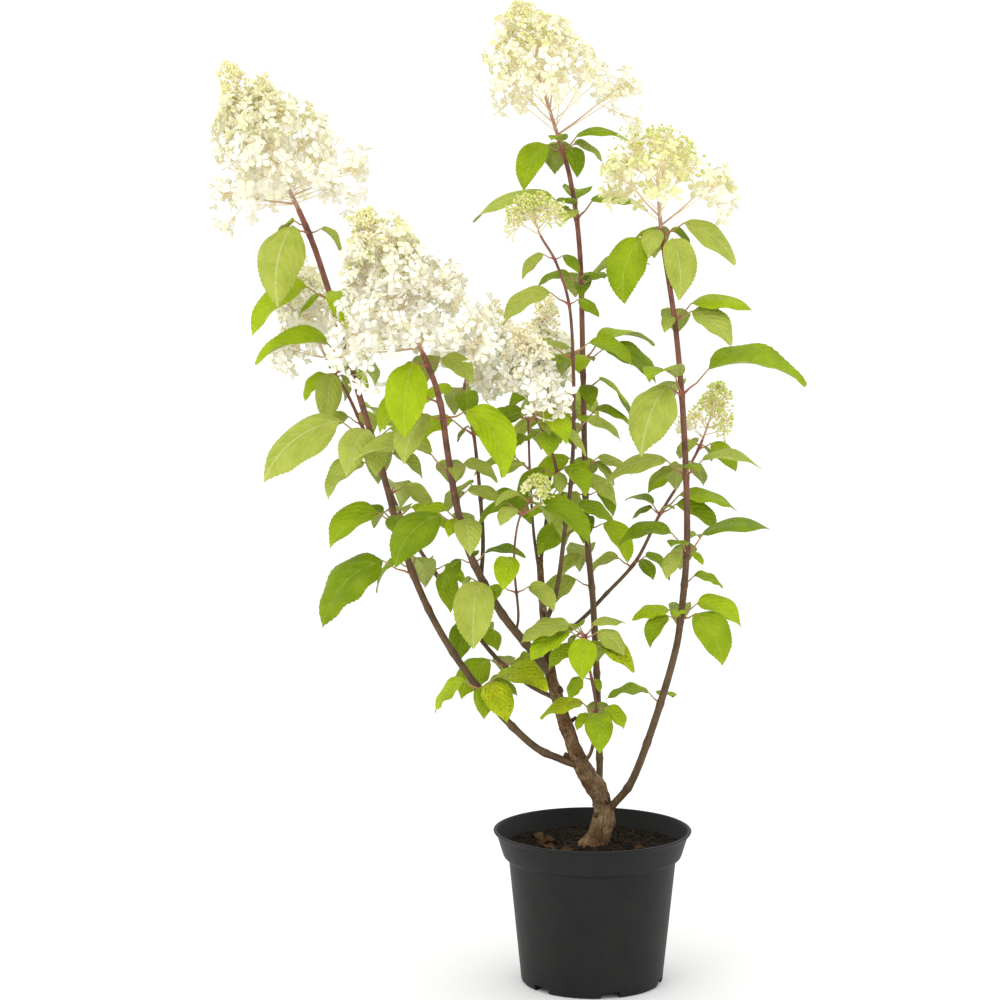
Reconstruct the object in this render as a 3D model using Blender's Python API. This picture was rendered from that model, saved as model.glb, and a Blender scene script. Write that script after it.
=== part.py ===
"""A panicle hydrangea in its nursery pot: pot, compost, trunk, canes, leafy shoots and flower panicles.

Units are metres and +Z is up. The origin is the centre of the pot's underside, and +Y points
to the back of the plant. Each cane is one smooth curve from its foot to the tip of its panicle.
It is made in up to three stretches: a bare bough, a leafy shoot and a panicle.
"""

import math
import random
from typing import NamedTuple

import bmesh
import bpy
import numpy as np
from mathutils import Matrix, Vector, noise
from mathutils.bvhtree import BVHTree

# The pot, a round nursery container of about five litres
POT_HEIGHT = 0.178
RIM_RADIUS = 0.1145
SHELF_HEIGHT = 0.147
SHELF_RADIUS = 0.1035
BODY_TOP_RADIUS = 0.0968
BODY_FOOT_RADIUS = 0.082
POT_WALL = 0.002
FLOOR_TOP = 0.011
CHANNEL_DEPTH = 0.008
CHANNEL_INNER_RADIUS = 0.045
CHANNEL_OUTER_RADIUS = 0.073
DRAIN_NOTCHES = 6
NOTCH_WIDTH = 0.022
NOTCH_TURN_DEG = 13.0
POT_SIDES = 34

# The compost and the ground line on it
GROUND = 0.158
COMPOST_RELIEF = 0.003
FLAT_PATCH_RADIUS = 0.034
COMPOST_SIDES = 18

# Solids that rest on or grow out of each other keep this gap
GAP = 0.0003

# A leaf or a flower branch keeps these distances from every limb, and a leaf from every leaf
LIMB_ROOM = 0.0012
LEAF_ROOM = 0.0022

# How finely the limbs are drawn
RING_SPACING = 0.046
CANE_SIDES = 6
TRUNK_SIDES = 10
RACHIS_SIDES = 5

# One leaf, as shares of its own length
BLADE_WIDTH = 0.56
BLADE_THICKNESS = 0.014
BLADE_FOLD_DEG = 20.0
PETIOLE_SHARE = 0.36
PETIOLE_RADIUS = 0.0013
PETIOLE_LIFT_DEG = 42.0
BLADE_LIFT_DEG = 14.0
HANG_DEG = 50.0
DROOP_DEG = 62.0
BLADE_ROLL_DEG = 36.0
LENGTH_SPREAD = 0.06

# Steps along a blade, and the two steps with a section: their number and their share of its width
BLADE_STEPS = 12
BLADE_ROWS = ((4, 0.96), (9, 0.66))

# A panicle's branches part into florets at this share of its radius
GOLDEN_ANGLE = math.radians(137.5)
BRANCH_SPACING = 1.15
PARTING = 0.50
FLORET_RADIUS = 0.018
FLORET_TILT = math.radians(62)
TOP_LEAN_DEG = 72.0

# A flower branch that would touch something tries these sizes before it is left out
BRANCH_SIZES = (1.0, 0.8, 0.6)

# A leaf that would touch something tries these turns and lifts before it is left out
TURNS_DEG = (0, 10, -10, 20, -20, 32, -32, 45, -45)
LIFTS_DEG = (0, 14, -14, 28)

SEED = 11


class Leaf(NamedTuple):
    """A leaf on a cane.

    height is its foot's height above the floor. bearing is its direction in degrees, from the
    right and counterclockwise from above. length is its blade's. hang is 0 for a leaf that
    rises a little, 1 for one that droops steeply, and below 0 for one that stands up.
    """

    height: float
    bearing: float
    length: float
    hang: float


class Bloom(NamedTuple):
    """A panicle: its tip, its widest radius and its flower branches.

    taper is the power by which it narrows to its tip. lean is how steeply its lowest branches
    rise, in degrees, and turn is the lowest branch's bearing. upright is 0 where the branches
    stand square to a leaning stalk, and 1 where they have turned up to the light.
    """

    tip: tuple
    radius: float
    branches: int
    taper: float
    lean: float
    turn: float
    upright: float


class Cane(NamedTuple):
    """A limb from its foot to the base of its panicle. It has no leaves below bare_to."""

    name: str
    path: tuple
    foot_radius: float
    tip_radius: float
    bare_to: float
    leaves: tuple
    bloom: Bloom | None


TRUNK = Cane(
    "trunk",
    (
        (-0.005, 0.002, 0.148),
        (0.008, 0.008, 0.171),
        (0.015, 0.013, 0.193),
        (0.007, 0.012, 0.217),
        (-0.014, 0.004, 0.254),
        (-0.025, 0.000, 0.284),
        (-0.043, 0.000, 0.338),
        (-0.054, 0.006, 0.398),
        (-0.060, 0.018, 0.471),
        (-0.061, 0.022, 0.492),
    ),
    0.0118,
    0.0034,
    0.366,
    (),
    None,
)

CANES = (
    Cane(
        "left",
        (
            (-0.014, 0.002, 0.251),
            (-0.038, -0.004, 0.261),
            (-0.072, -0.008, 0.280),
            (-0.127, -0.012, 0.339),
            (-0.179, -0.010, 0.417),
            (-0.216, 0.000, 0.502),
            (-0.238, 0.006, 0.582),
            (-0.281, 0.018, 0.724),
            (-0.304, 0.024, 0.804),
            (-0.336, 0.030, 0.889),
        ),
        0.0044,
        0.0032,
        0.463,
        (
            Leaf(0.473, 185, 0.114, 0.65),
            Leaf(0.478, 75, 0.060, 0.5),
            Leaf(0.529, 192, 0.070, 0.4),
            Leaf(0.531, 172, 0.060, 0.1),
            Leaf(0.533, 8, 0.060, 0.25),
            Leaf(0.591, 188, 0.064, 0.60),
            Leaf(0.593, 95, 0.064, 0.5),
            Leaf(0.616, 10, 0.060, 0.3),
            Leaf(0.618, 180, 0.124, 0.42),
            Leaf(0.622, 275, 0.050, 0.9),
            Leaf(0.704, 178, 0.092, 0.05),
            Leaf(0.706, 60, 0.060, 0.6),
            Leaf(0.783, 172, 0.092, 0.45),
            Leaf(0.785, 40, 0.060, 0.6),
            Leaf(0.858, 236, 0.102, 1.15),
            Leaf(0.861, 20, 0.042, 0.8),
            Leaf(0.864, 140, 0.050, 0.9),
        ),
        Bloom((-0.420, 0.035, 1.058), 0.110, 12, 0.95, 10, 200, 0.75),
    ),
    Cane(
        "middle",
        (
            (-0.051, -0.004, 0.363),
            (-0.072, -0.012, 0.390),
            (-0.107, -0.028, 0.437),
            (-0.140, -0.050, 0.503),
            (-0.155, -0.070, 0.562),
            (-0.165, -0.088, 0.625),
            (-0.173, -0.100, 0.681),
            (-0.191, -0.112, 0.733),
        ),
        0.0052,
        0.0030,
        0.455,
        (
            Leaf(0.466, 252, 0.078, 1.25),
            Leaf(0.487, 185, 0.045, 0.9),
            Leaf(0.490, 350, 0.050, -0.3),
            Leaf(0.537, 205, 0.078, 0.5),
            Leaf(0.539, 172, 0.052, 0.1),
            Leaf(0.542, 80, 0.050, 0.4),
            Leaf(0.567, 5, 0.048, 0.0),
            Leaf(0.593, 176, 0.090, -0.25),
            Leaf(0.595, 85, 0.060, 0.4),
            Leaf(0.597, 352, 0.045, 0.3),
            Leaf(0.657, 333, 0.092, 0.85),
            Leaf(0.675, 165, 0.070, 0.5),
            Leaf(0.716, 245, 0.084, 1.2),
            Leaf(0.718, 100, 0.060, 0.6),
        ),
        Bloom((-0.256, -0.130, 0.886), 0.102, 12, 0.75, 2, 190, 0.55),
    ),
    Cane(
        "tall",
        (
            (0.006, 0.012, 0.214),
            (0.009, 0.022, 0.240),
            (0.008, 0.030, 0.285),
            (0.006, 0.034, 0.346),
            (0.001, 0.038, 0.439),
            (-0.007, 0.038, 0.533),
            (-0.012, 0.032, 0.729),
            (-0.016, 0.024, 0.843),
            (-0.026, 0.016, 0.917),
            (-0.040, 0.009, 0.967),
        ),
        0.0042,
        0.0027,
        0.440,
        (
            Leaf(0.452, 185, 0.060, 0.5),
            Leaf(0.486, 95, 0.070, 0.3),
            Leaf(0.519, 348, 0.055, 0.8),
            Leaf(0.521, 190, 0.062, 0.5),
            Leaf(0.524, 265, 0.040, 0.6),
            Leaf(0.550, 240, 0.060, 0.9),
            Leaf(0.587, 185, 0.055, 0.4),
            Leaf(0.589, 10, 0.050, 0.2),
            Leaf(0.591, 95, 0.060, 0.4),
            Leaf(0.635, 200, 0.050, 0.5),
            Leaf(0.637, 20, 0.052, 0.2),
            Leaf(0.668, 35, 0.075, 0.6),
            Leaf(0.699, 176, 0.066, -0.1),
            Leaf(0.701, 2, 0.082, 0.35),
            Leaf(0.703, 262, 0.042, 0.2),
            Leaf(0.705, 24, 0.082, -0.2),
            Leaf(0.707, 110, 0.060, 0.4),
            Leaf(0.791, 275, 0.040, 0.0),
            Leaf(0.793, 12, 0.072, -0.5),
            Leaf(0.795, 90, 0.060, 0.3),
            Leaf(0.875, 178, 0.104, 0.0),
            Leaf(0.877, 5, 0.080, -0.2),
            Leaf(0.879, 80, 0.060, -0.4),
            Leaf(0.949, 300, 0.040, 0.9),
            Leaf(0.953, 5, 0.062, -0.25),
            Leaf(0.953, 208, 0.060, 0.75),
            Leaf(0.953, 100, 0.060, 0.4),
        ),
        Bloom((-0.087, 0.000, 1.112), 0.112, 8, 0.70, 34, 0, 0.9),
    ),
    Cane(
        "right",
        (
            (0.014, 0.013, 0.190),
            (0.025, 0.012, 0.204),
            (0.046, 0.004, 0.234),
            (0.069, -0.010, 0.301),
            (0.090, -0.022, 0.377),
            (0.098, -0.030, 0.426),
            (0.104, -0.040, 0.519),
            (0.099, -0.050, 0.644),
            (0.089, -0.050, 0.756),
            (0.072, -0.050, 0.868),
        ),
        0.0046,
        0.0028,
        0.305,
        (
            Leaf(0.324, 185, 0.052, -0.2),
            Leaf(0.424, 318, 0.074, 0.75),
            Leaf(0.426, 180, 0.046, -0.1),
            Leaf(0.428, 350, 0.062, 0.2),
            Leaf(0.430, 90, 0.050, 0.5),
            Leaf(0.461, 20, 0.038, 0.2),
            Leaf(0.497, 225, 0.036, 0.8),
            Leaf(0.499, 2, 0.080, -0.4),
            Leaf(0.501, 90, 0.060, 0.4),
            Leaf(0.503, 178, 0.066, -0.1),
            Leaf(0.585, 182, 0.074, 0.15),
            Leaf(0.587, 2, 0.070, -0.1),
            Leaf(0.589, 95, 0.060, 0.4),
            Leaf(0.673, 238, 0.092, 0.75),
            Leaf(0.679, 2, 0.122, -0.2),
            Leaf(0.682, 100, 0.070, 0.4),
            Leaf(0.757, 345, 0.066, 0.45),
            Leaf(0.760, 4, 0.076, -0.15),
            Leaf(0.763, 90, 0.060, 0.3),
            Leaf(0.848, 292, 0.078, 1.2),
            Leaf(0.851, 216, 0.082, 1.1),
            Leaf(0.854, 0, 0.080, 0.45),
            Leaf(0.854, 95, 0.060, 0.4),
            Leaf(0.854, 165, 0.030, 0.2),
        ),
        Bloom((0.066, -0.050, 0.950), 0.098, 6, 0.45, 36, 0, 0.6),
    ),
    Cane(
        "back_right",
        (
            (-0.055, 0.008, 0.393),
            (-0.030, 0.025, 0.404),
            (-0.007, 0.045, 0.420),
            (0.016, 0.065, 0.441),
            (0.054, 0.095, 0.478),
            (0.083, 0.125, 0.529),
            (0.113, 0.140, 0.575),
            (0.135, 0.150, 0.616),
        ),
        0.0026,
        0.0016,
        0.455,
        (
            Leaf(0.468, 165, 0.050, 0.4),
            Leaf(0.471, 20, 0.045, 0.5),
            Leaf(0.527, 345, 0.066, 0.3),
            Leaf(0.529, 150, 0.040, -0.4),
            Leaf(0.531, 8, 0.074, 0.05),
            Leaf(0.573, 200, 0.045, 0.5),
            Leaf(0.576, 60, 0.055, 0.5),
            Leaf(0.602, 340, 0.050, 0.6),
            Leaf(0.605, 120, 0.045, 0.4),
        ),
        Bloom((0.156, 0.160, 0.678), 0.034, 4, 0.60, 20, 180, 0.0),
    ),
    Cane(
        "back_left",
        (
            (-0.043, 0.002, 0.330),
            (-0.077, 0.030, 0.344),
            (-0.121, 0.060, 0.379),
            (-0.181, 0.090, 0.461),
            (-0.220, 0.100, 0.524),
            (-0.283, 0.110, 0.667),
            (-0.309, 0.110, 0.711),
        ),
        0.0029,
        0.0018,
        0.350,
        (
            Leaf(0.358, 200, 0.058, 0.6),
            Leaf(0.358, 20, 0.058, 0.6),
            Leaf(0.395, 80, 0.050, 0.5),
            Leaf(0.398, 250, 0.050, 0.9),
            Leaf(0.459, 290, 0.050, 1.0),
            Leaf(0.462, 110, 0.050, 0.5),
            Leaf(0.550, 80, 0.060, 0.5),
            Leaf(0.634, 185, 0.050, 0.3),
            Leaf(0.637, 60, 0.050, 0.4),
            Leaf(0.690, 185, 0.045, 0.7),
            Leaf(0.692, 262, 0.068, 1.1),
            Leaf(0.695, 60, 0.055, 0.5),
        ),
        Bloom((-0.364, 0.122, 0.838), 0.066, 6, 0.60, 20, 200, 0.6),
    ),
    Cane(
        "back_middle",
        (
            (-0.128, -0.042, 0.477),
            (-0.126, -0.015, 0.512),
            (-0.129, 0.020, 0.558),
            (-0.137, 0.060, 0.629),
            (-0.148, 0.085, 0.688),
        ),
        0.0025,
        0.0017,
        0.0,
        (
            Leaf(0.556, 345, 0.060, 0.5),
            Leaf(0.559, 120, 0.060, 0.5),
            Leaf(0.627, 178, 0.078, 0.3),
            Leaf(0.630, 20, 0.050, 0.4),
            Leaf(0.669, 100, 0.055, 0.5),
            Leaf(0.669, 280, 0.055, 0.5),
        ),
        Bloom((-0.112, 0.112, 0.772), 0.052, 5, 0.55, 20, 40, 0.0),
    ),
    Cane(
        "inner",
        (
            (-0.057, 0.008, 0.410),
            (-0.042, -0.010, 0.458),
            (-0.033, -0.020, 0.528),
            (-0.027, -0.030, 0.580),
            (-0.024, -0.040, 0.643),
            (-0.025, -0.050, 0.717),
            (-0.030, -0.060, 0.784),
            (-0.045, -0.075, 0.831),
            (-0.062, -0.085, 0.860),
        ),
        0.0030,
        0.0014,
        0.520,
        (
            Leaf(0.541, 20, 0.050, 0.4),
            Leaf(0.579, 350, 0.050, 0.5),
            Leaf(0.642, 8, 0.050, 0.2),
            Leaf(0.721, 180, 0.066, 0.3),
            Leaf(0.724, 350, 0.060, 0.3),
            Leaf(0.783, 182, 0.068, 0.3),
            Leaf(0.832, 182, 0.036, 0.6),
        ),
        Bloom((-0.074, -0.090, 0.890), 0.038, 4, 0.40, 34, 180, 0.8),
    ),
    Cane(
        "front",
        (
            (-0.033, -0.020, 0.530),
            (-0.042, -0.050, 0.593),
            (-0.054, -0.080, 0.637),
            (-0.067, -0.100, 0.665),
        ),
        0.0021,
        0.0016,
        0.0,
        (
            Leaf(0.592, 200, 0.050, 0.6),
            Leaf(0.595, 320, 0.045, 0.6),
            Leaf(0.636, 275, 0.046, 0.4),
            Leaf(0.639, 20, 0.045, 0.5),
            Leaf(0.656, 178, 0.052, 0.3),
            Leaf(0.658, 300, 0.050, 0.5),
        ),
        Bloom((-0.084, -0.122, 0.758), 0.050, 5, 0.50, 34, 300, 0.6),
    ),
    Cane(
        "back",
        (
            (-0.060, 0.020, 0.484),
            (-0.052, 0.055, 0.540),
            (-0.047, 0.090, 0.592),
            (-0.044, 0.120, 0.642),
            (-0.045, 0.140, 0.676),
        ),
        0.0022,
        0.0015,
        0.0,
        (
            Leaf(0.553, 60, 0.058, 0.5),
            Leaf(0.556, 150, 0.050, 0.5),
            Leaf(0.630, 60, 0.060, 0.5),
            Leaf(0.633, 170, 0.050, 0.4),
            Leaf(0.662, 60, 0.062, 0.4),
            Leaf(0.665, 120, 0.060, 0.5),
            Leaf(0.668, 200, 0.050, 0.4),
        ),
        Bloom((-0.053, 0.178, 0.785), 0.042, 5, 0.55, 30, 90, 0.6),
    ),
    Cane(
        "inner_back",
        (
            (-0.061, 0.020, 0.470),
            (-0.068, 0.036, 0.520),
            (-0.072, 0.050, 0.584),
            (-0.074, 0.062, 0.646),
        ),
        0.0019,
        0.0012,
        0.0,
        (
            Leaf(0.585, 152, 0.060, 0.1),
            Leaf(0.624, 60, 0.050, 0.3),
            Leaf(0.643, 200, 0.048, 0.3),
            Leaf(0.643, 320, 0.048, 0.3),
            Leaf(0.643, 80, 0.048, 0.3),
        ),
        None,
    ),
    Cane(
        "low_front",
        (
            (-0.088, -0.019, 0.412),
            (-0.086, -0.035, 0.436),
            (-0.091, -0.070, 0.498),
            (-0.086, -0.100, 0.548),
            (-0.071, -0.115, 0.575),
        ),
        0.0016,
        0.0011,
        0.0,
        (
            Leaf(0.455, 172, 0.052, 0.6),
            Leaf(0.458, 345, 0.045, 0.5),
            Leaf(0.496, 250, 0.046, 0.7),
            Leaf(0.552, 342, 0.072, 0.45),
            Leaf(0.555, 150, 0.050, 0.4),
            Leaf(0.568, 190, 0.034, 0.2),
        ),
        Bloom((-0.062, -0.120, 0.592), 0.014, 3, 0.40, 30, 180, 0.0),
    ),
    Cane(
        "low_middle",
        (
            (-0.014, 0.002, 0.252),
            (-0.002, -0.014, 0.272),
            (0.003, -0.032, 0.318),
            (-0.003, -0.050, 0.361),
            (-0.010, -0.057, 0.392),
            (-0.011, -0.060, 0.415),
        ),
        0.0023,
        0.0014,
        0.0,
        (
            Leaf(0.313, 275, 0.056, 0.7),
            Leaf(0.315, 176, 0.056, 0.1),
            Leaf(0.318, 80, 0.045, 0.5),
            Leaf(0.361, 200, 0.035, 0.9),
            Leaf(0.388, 182, 0.042, 0.5),
            Leaf(0.390, 352, 0.054, 0.35),
            Leaf(0.392, 80, 0.050, 0.4),
            Leaf(0.404, 268, 0.052, 0.8),
            Leaf(0.407, 195, 0.060, 0.45),
            Leaf(0.409, 350, 0.042, 0.5),
            Leaf(0.411, 172, 0.062, 0.0),
            Leaf(0.411, 30, 0.045, -0.3),
            Leaf(0.411, 110, 0.050, 0.2),
        ),
        None,
    ),
    Cane(
        "low_left",
        (
            (-0.120, -0.011, 0.329),
            (-0.127, -0.020, 0.338),
            (-0.130, -0.026, 0.348),
        ),
        0.0014,
        0.0011,
        0.0,
        (
            Leaf(0.342, 335, 0.066, -0.15),
            Leaf(0.344, 165, 0.056, 0.6),
            Leaf(0.346, 305, 0.062, 0.55),
        ),
        None,
    ),
)

COLOURS = {
    "pot plastic": ((0.030, 0.031, 0.032), 0.42),
    "compost": ((0.040, 0.026, 0.018), 0.95),
    "old bark": ((0.150, 0.096, 0.062), 0.85),
    "cane bark": ((0.120, 0.052, 0.036), 0.60),
    "leaf": ((0.230, 0.420, 0.040), 0.50),
    "petals": ((0.860, 0.860, 0.640), 0.60),
}


def material(name):
    """The Blender material of that name, made once."""
    made = bpy.data.materials.get(name)
    if made is None:
        colour, roughness = COLOURS[name]
        made = bpy.data.materials.new(name)
        made.use_nodes = True
        shader = made.node_tree.nodes["Principled BSDF"]
        shader.inputs["Base Color"].default_value = (*colour, 1.0)
        shader.inputs["Roughness"].default_value = roughness
        shader.inputs["Metallic"].default_value = 0.0
    return made


def add_object(name, points, faces, material_name):
    """A mesh object with its faces pointing out."""
    mesh = bpy.data.meshes.new(name)
    mesh.from_pydata([tuple(point) for point in points], [], faces)
    mesh.validate()
    made = bpy.data.objects.new(name, mesh)
    bpy.context.scene.collection.objects.link(made)
    mesh.materials.append(material(material_name))
    work = bmesh.new()
    work.from_mesh(mesh)
    bmesh.ops.recalc_face_normals(work, faces=work.faces)
    work.to_mesh(mesh)
    work.free()
    return made


def drop(objects):
    """Removes helper objects that have done their work."""
    for obj in objects:
        bpy.data.objects.remove(obj)


def keep_largest_shell(obj):
    """Drops loose scraps and fills sealed hollows: only the largest outward shell stays."""
    work = bmesh.new()
    work.from_mesh(obj.data)
    shells = []
    waiting = set(work.faces)
    while waiting:
        shell, to_visit = set(), [next(iter(waiting))]
        while to_visit:
            face = to_visit.pop()
            if face in shell:
                continue
            shell.add(face)
            seams = [edge for edge in face.edges if len(edge.link_faces) == 2]
            to_visit += [other for edge in seams for other in edge.link_faces]
        waiting -= shell
        shells.append(shell)
    largest = max(shells, key=lambda shell: sum(face.calc_area() for face in shell))
    scraps = [face for face in work.faces if face not in largest]
    bmesh.ops.delete(work, geom=scraps, context="FACES")
    work.to_mesh(obj.data)
    work.free()


def apply_boolean(obj, operation, other=None, collection=None, solver="EXACT"):
    """Joins or cuts obj, and replaces its mesh by the result."""
    boolean = obj.modifiers.new(operation, "BOOLEAN")
    boolean.operation = operation
    boolean.solver = solver
    if collection is None:
        boolean.object = other
    else:
        boolean.operand_type = "COLLECTION"
        boolean.collection = collection
    graph = bpy.context.evaluated_depsgraph_get()
    result = bpy.data.meshes.new_from_object(obj.evaluated_get(graph))
    obj.modifiers.clear()
    obj.data = result
    keep_largest_shell(obj)


def fuse(obj, others):
    """Unites obj with the others by one Boolean on a collection, and removes them."""
    if not others:
        return
    group = bpy.data.collections.new("to fuse")
    bpy.context.scene.collection.children.link(group)
    for other in others:
        group.objects.link(other)
        bpy.context.scene.collection.objects.unlink(other)
    apply_boolean(obj, "UNION", collection=group, solver="MANIFOLD")
    drop(others)
    bpy.data.collections.remove(group)


class Curve:
    """A smooth line through a limb's waypoints, read by the distance along it."""

    STEPS = 12

    def __init__(self, points):
        points = [Vector(point) for point in points]
        ghosts = [2 * points[0] - points[1], *points, 2 * points[-1] - points[-2]]
        self.points = [points[0]]
        for before, start, end, after in zip(ghosts, ghosts[1:], ghosts[2:], ghosts[3:]):
            for step in range(1, self.STEPS + 1):
                t = step / self.STEPS
                self.points.append(
                    0.5
                    * (
                        2 * start
                        + (end - before) * t
                        + (2 * before - 5 * start + 4 * end - after) * t**2
                        + (3 * start - before - 3 * end + after) * t**3
                    )
                )
        self.distances = [0.0]
        for start, end in zip(self.points, self.points[1:]):
            self.distances.append(self.distances[-1] + (end - start).length)
        self.length = self.distances[-1]

    def at(self, distance):
        """The place at a distance along the line."""
        return Vector(
            np.interp(distance, self.distances, [point[axis] for point in self.points])
            for axis in range(3)
        )

    def direction(self, distance):
        """The line's direction there."""
        step = 0.004
        low = max(0.0, distance - step)
        return (self.at(min(self.length, distance + step)) - self.at(low)).normalized()

    def at_height(self, height):
        """The first distance at which the line is that high."""
        for distance, point in zip(self.distances, self.points):
            if point.z >= height:
                return distance
        return self.length


def across(direction):
    """Two directions square to a limb and to each other."""
    side = direction.cross(Vector((0, 1, 0)))
    if side.length < 0.2:
        side = direction.cross(Vector((1, 0, 0)))
    side.normalize()
    return side, side.cross(direction).normalized()


def tube(curve, start, end, radius_at, sides, spacing):
    """Points and faces of a closed tube along a stretch of a curve.

    Its rings lie at the same places on the curve whichever stretch is drawn.
    """
    inner = [spacing * step for step in range(math.ceil(curve.length / spacing) + 1)]
    inner = [place for place in inner if start + spacing / 5 < place < end - spacing / 5]
    distances = [start, *inner, end]
    rings = len(distances)
    points, faces = [], []
    for distance in distances:
        side, up = across(curve.direction(distance))
        centre = curve.at(distance)
        for corner in range(sides):
            angle = math.tau * corner / sides
            spoke = side * math.cos(angle) + up * math.sin(angle)
            points.append(centre + spoke * radius_at(distance, angle))
    for ring in range(rings - 1):
        for corner in range(sides):
            first = ring * sides + corner
            second = ring * sides + (corner + 1) % sides
            faces.append((first, second, second + sides, first + sides))
    faces.append(tuple(reversed(range(sides))))
    faces.append(tuple(range((rings - 1) * sides, rings * sides)))
    return points, faces


class Limb:
    """A cane's curve, its taper, and its solid at a chosen clearance."""

    SIDES = CANE_SIDES
    SPACING = RING_SPACING

    def __init__(self, cane):
        self.cane = cane
        tip = [cane.bloom.tip] if cane.bloom else []
        self.curve = Curve([*cane.path, *tip])
        self.stem_end = Curve(cane.path).length if tip else self.curve.length
        self.joints = [self.curve.at_height(leaf.height) for leaf in cane.leaves]

    def radius(self, distance, angle=0.0):
        """The limb's radius: it tapers along the stem, and faster inside the panicle."""
        share = min(1.0, distance / self.stem_end)
        radius = self.cane.foot_radius + (self.cane.tip_radius - self.cane.foot_radius) * share
        if distance > self.stem_end:
            beyond = (distance - self.stem_end) / (self.curve.length - self.stem_end)
            radius *= 1 - 0.6 * beyond
        return radius

    def stretch(self, start, end, clearance=0.0):
        """The tube's points and faces between two distances."""
        return tube(
            self.curve,
            start,
            end,
            lambda distance, angle: self.radius(distance, angle) + clearance,
            self.SIDES,
            self.SPACING,
        )


class Trunk(Limb):
    """The old wood, knotted and flared at its foot."""

    SIDES = TRUNK_SIDES
    SPACING = 0.013
    TAPER = 1.15
    FLARE = 0.55
    FLARE_REACH = 0.030
    FLARE_SIDE = 2.2
    KNOTS = (0.085, 0.118, 0.170, 0.232)
    KNOT_SWELLING = 0.26
    KNOT_REACH = 0.011

    def radius(self, distance, angle=0.0):
        """The trunk's radius: its taper, its flare, fuller on one side, and its knots."""
        share = min(1.0, distance / self.stem_end)
        slender = self.cane.tip_radius / self.cane.foot_radius
        radius = self.cane.foot_radius * (slender + (1 - slender) * (1 - share) ** self.TAPER)
        flare = self.FLARE * math.exp(-distance / self.FLARE_REACH)
        radius *= 1 + flare * (1 + 0.4 * math.cos(angle - self.FLARE_SIDE))
        for knot in self.KNOTS:
            swelling = self.KNOT_SWELLING * math.exp(-(((distance - knot) / self.KNOT_REACH) ** 2))
            radius *= 1 + swelling * (0.6 + 0.4 * math.cos(angle * 2 + knot * 90))
        return radius


def tree_of(points, faces):
    """A search tree over a mesh, for finding what touches."""
    return BVHTree.FromPolygons([tuple(point) for point in points], faces)


def add_stretch(name, limb, start, end, earlier, material_name):
    """A solid of part of a limb, cut clear of the limbs that it grows from."""
    points, faces = limb.stretch(start, end)
    made = add_object(name, points, faces, material_name)
    own = tree_of(points, faces)
    for other in earlier:
        wide = other.stretch(0.0, other.curve.length, clearance=GAP)
        if own.overlap(tree_of(*wide)):
            cutter = add_object("cutter", *wide, material_name)
            apply_boolean(made, "DIFFERENCE", other=cutter)
            drop([cutter])
    return made


def cut_flat_at_ground(obj):
    """Gives the trunk its flat foot, just clear of the compost."""
    work = bmesh.new()
    work.from_mesh(obj.data)
    cut = bmesh.ops.bisect_plane(
        work,
        geom=[*work.verts, *work.edges, *work.faces],
        plane_co=(0, 0, GROUND + GAP),
        plane_no=(0, 0, 1),
        clear_inner=True,
    )
    rim = [item for item in cut["geom_cut"] if isinstance(item, bmesh.types.BMEdge)]
    bmesh.ops.contextual_create(work, geom=rim)
    bmesh.ops.recalc_face_normals(work, faces=work.faces)
    work.to_mesh(obj.data)
    work.free()


def leaf_midrib(root, bearing, length, hang, lift):
    """Places, upward and sideways directions along a leaf's blade, from its foot to its tip.

    A leaf to the left or the right is turned on its midrib, so that its upper face looks forward.
    """
    heading = Vector((math.cos(bearing), math.sin(bearing), 0))
    level_side = Vector((-heading.y, heading.x, 0))
    roll = math.radians(BLADE_ROLL_DEG) * heading.x * min(1.0, max(0.0, 0.55 + hang))
    petiole_lift = math.radians(PETIOLE_LIFT_DEG + lift - HANG_DEG * hang / 2)
    blade_lift = math.radians(BLADE_LIFT_DEG + lift - HANG_DEG * hang)

    def along(elevation):
        return heading * math.cos(elevation) + Vector((0, 0, math.sin(elevation)))

    def frame(elevation, turn):
        above = Vector((0, 0, math.cos(elevation))) - heading * math.sin(elevation)
        up = above * math.cos(turn) - level_side * math.sin(turn)
        return up, level_side * math.cos(turn) + above * math.sin(turn)

    place = root + along(petiole_lift) * length * PETIOLE_SHARE
    line = [(place, *frame(blade_lift, roll / 2))]
    for step in range(1, BLADE_STEPS + 1):
        share = step / BLADE_STEPS
        elevation = blade_lift - math.radians(DROOP_DEG) * (share - 0.5 / BLADE_STEPS)
        place = place + along(elevation) * (length / BLADE_STEPS)
        line.append((place, *frame(elevation, roll)))
    return line


def loft(sections):
    """Points and faces of a closed solid through four-cornered sections; a section may be one point."""
    points, faces, rings = [], [], []
    for section in sections:
        rings.append(range(len(points), len(points) + len(section)))
        points += section
    for low, high in zip(rings, rings[1:]):
        for corner in range(4):
            following = (corner + 1) % 4
            if len(high) == 1:
                faces.append((low[corner], low[following], high[0]))
            else:
                faces.append((low[corner], low[following], high[following], high[corner]))
    for ring in (rings[0], rings[-1]):
        if len(ring) == 4:
            faces.append(tuple(ring))
    return points, faces


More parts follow.
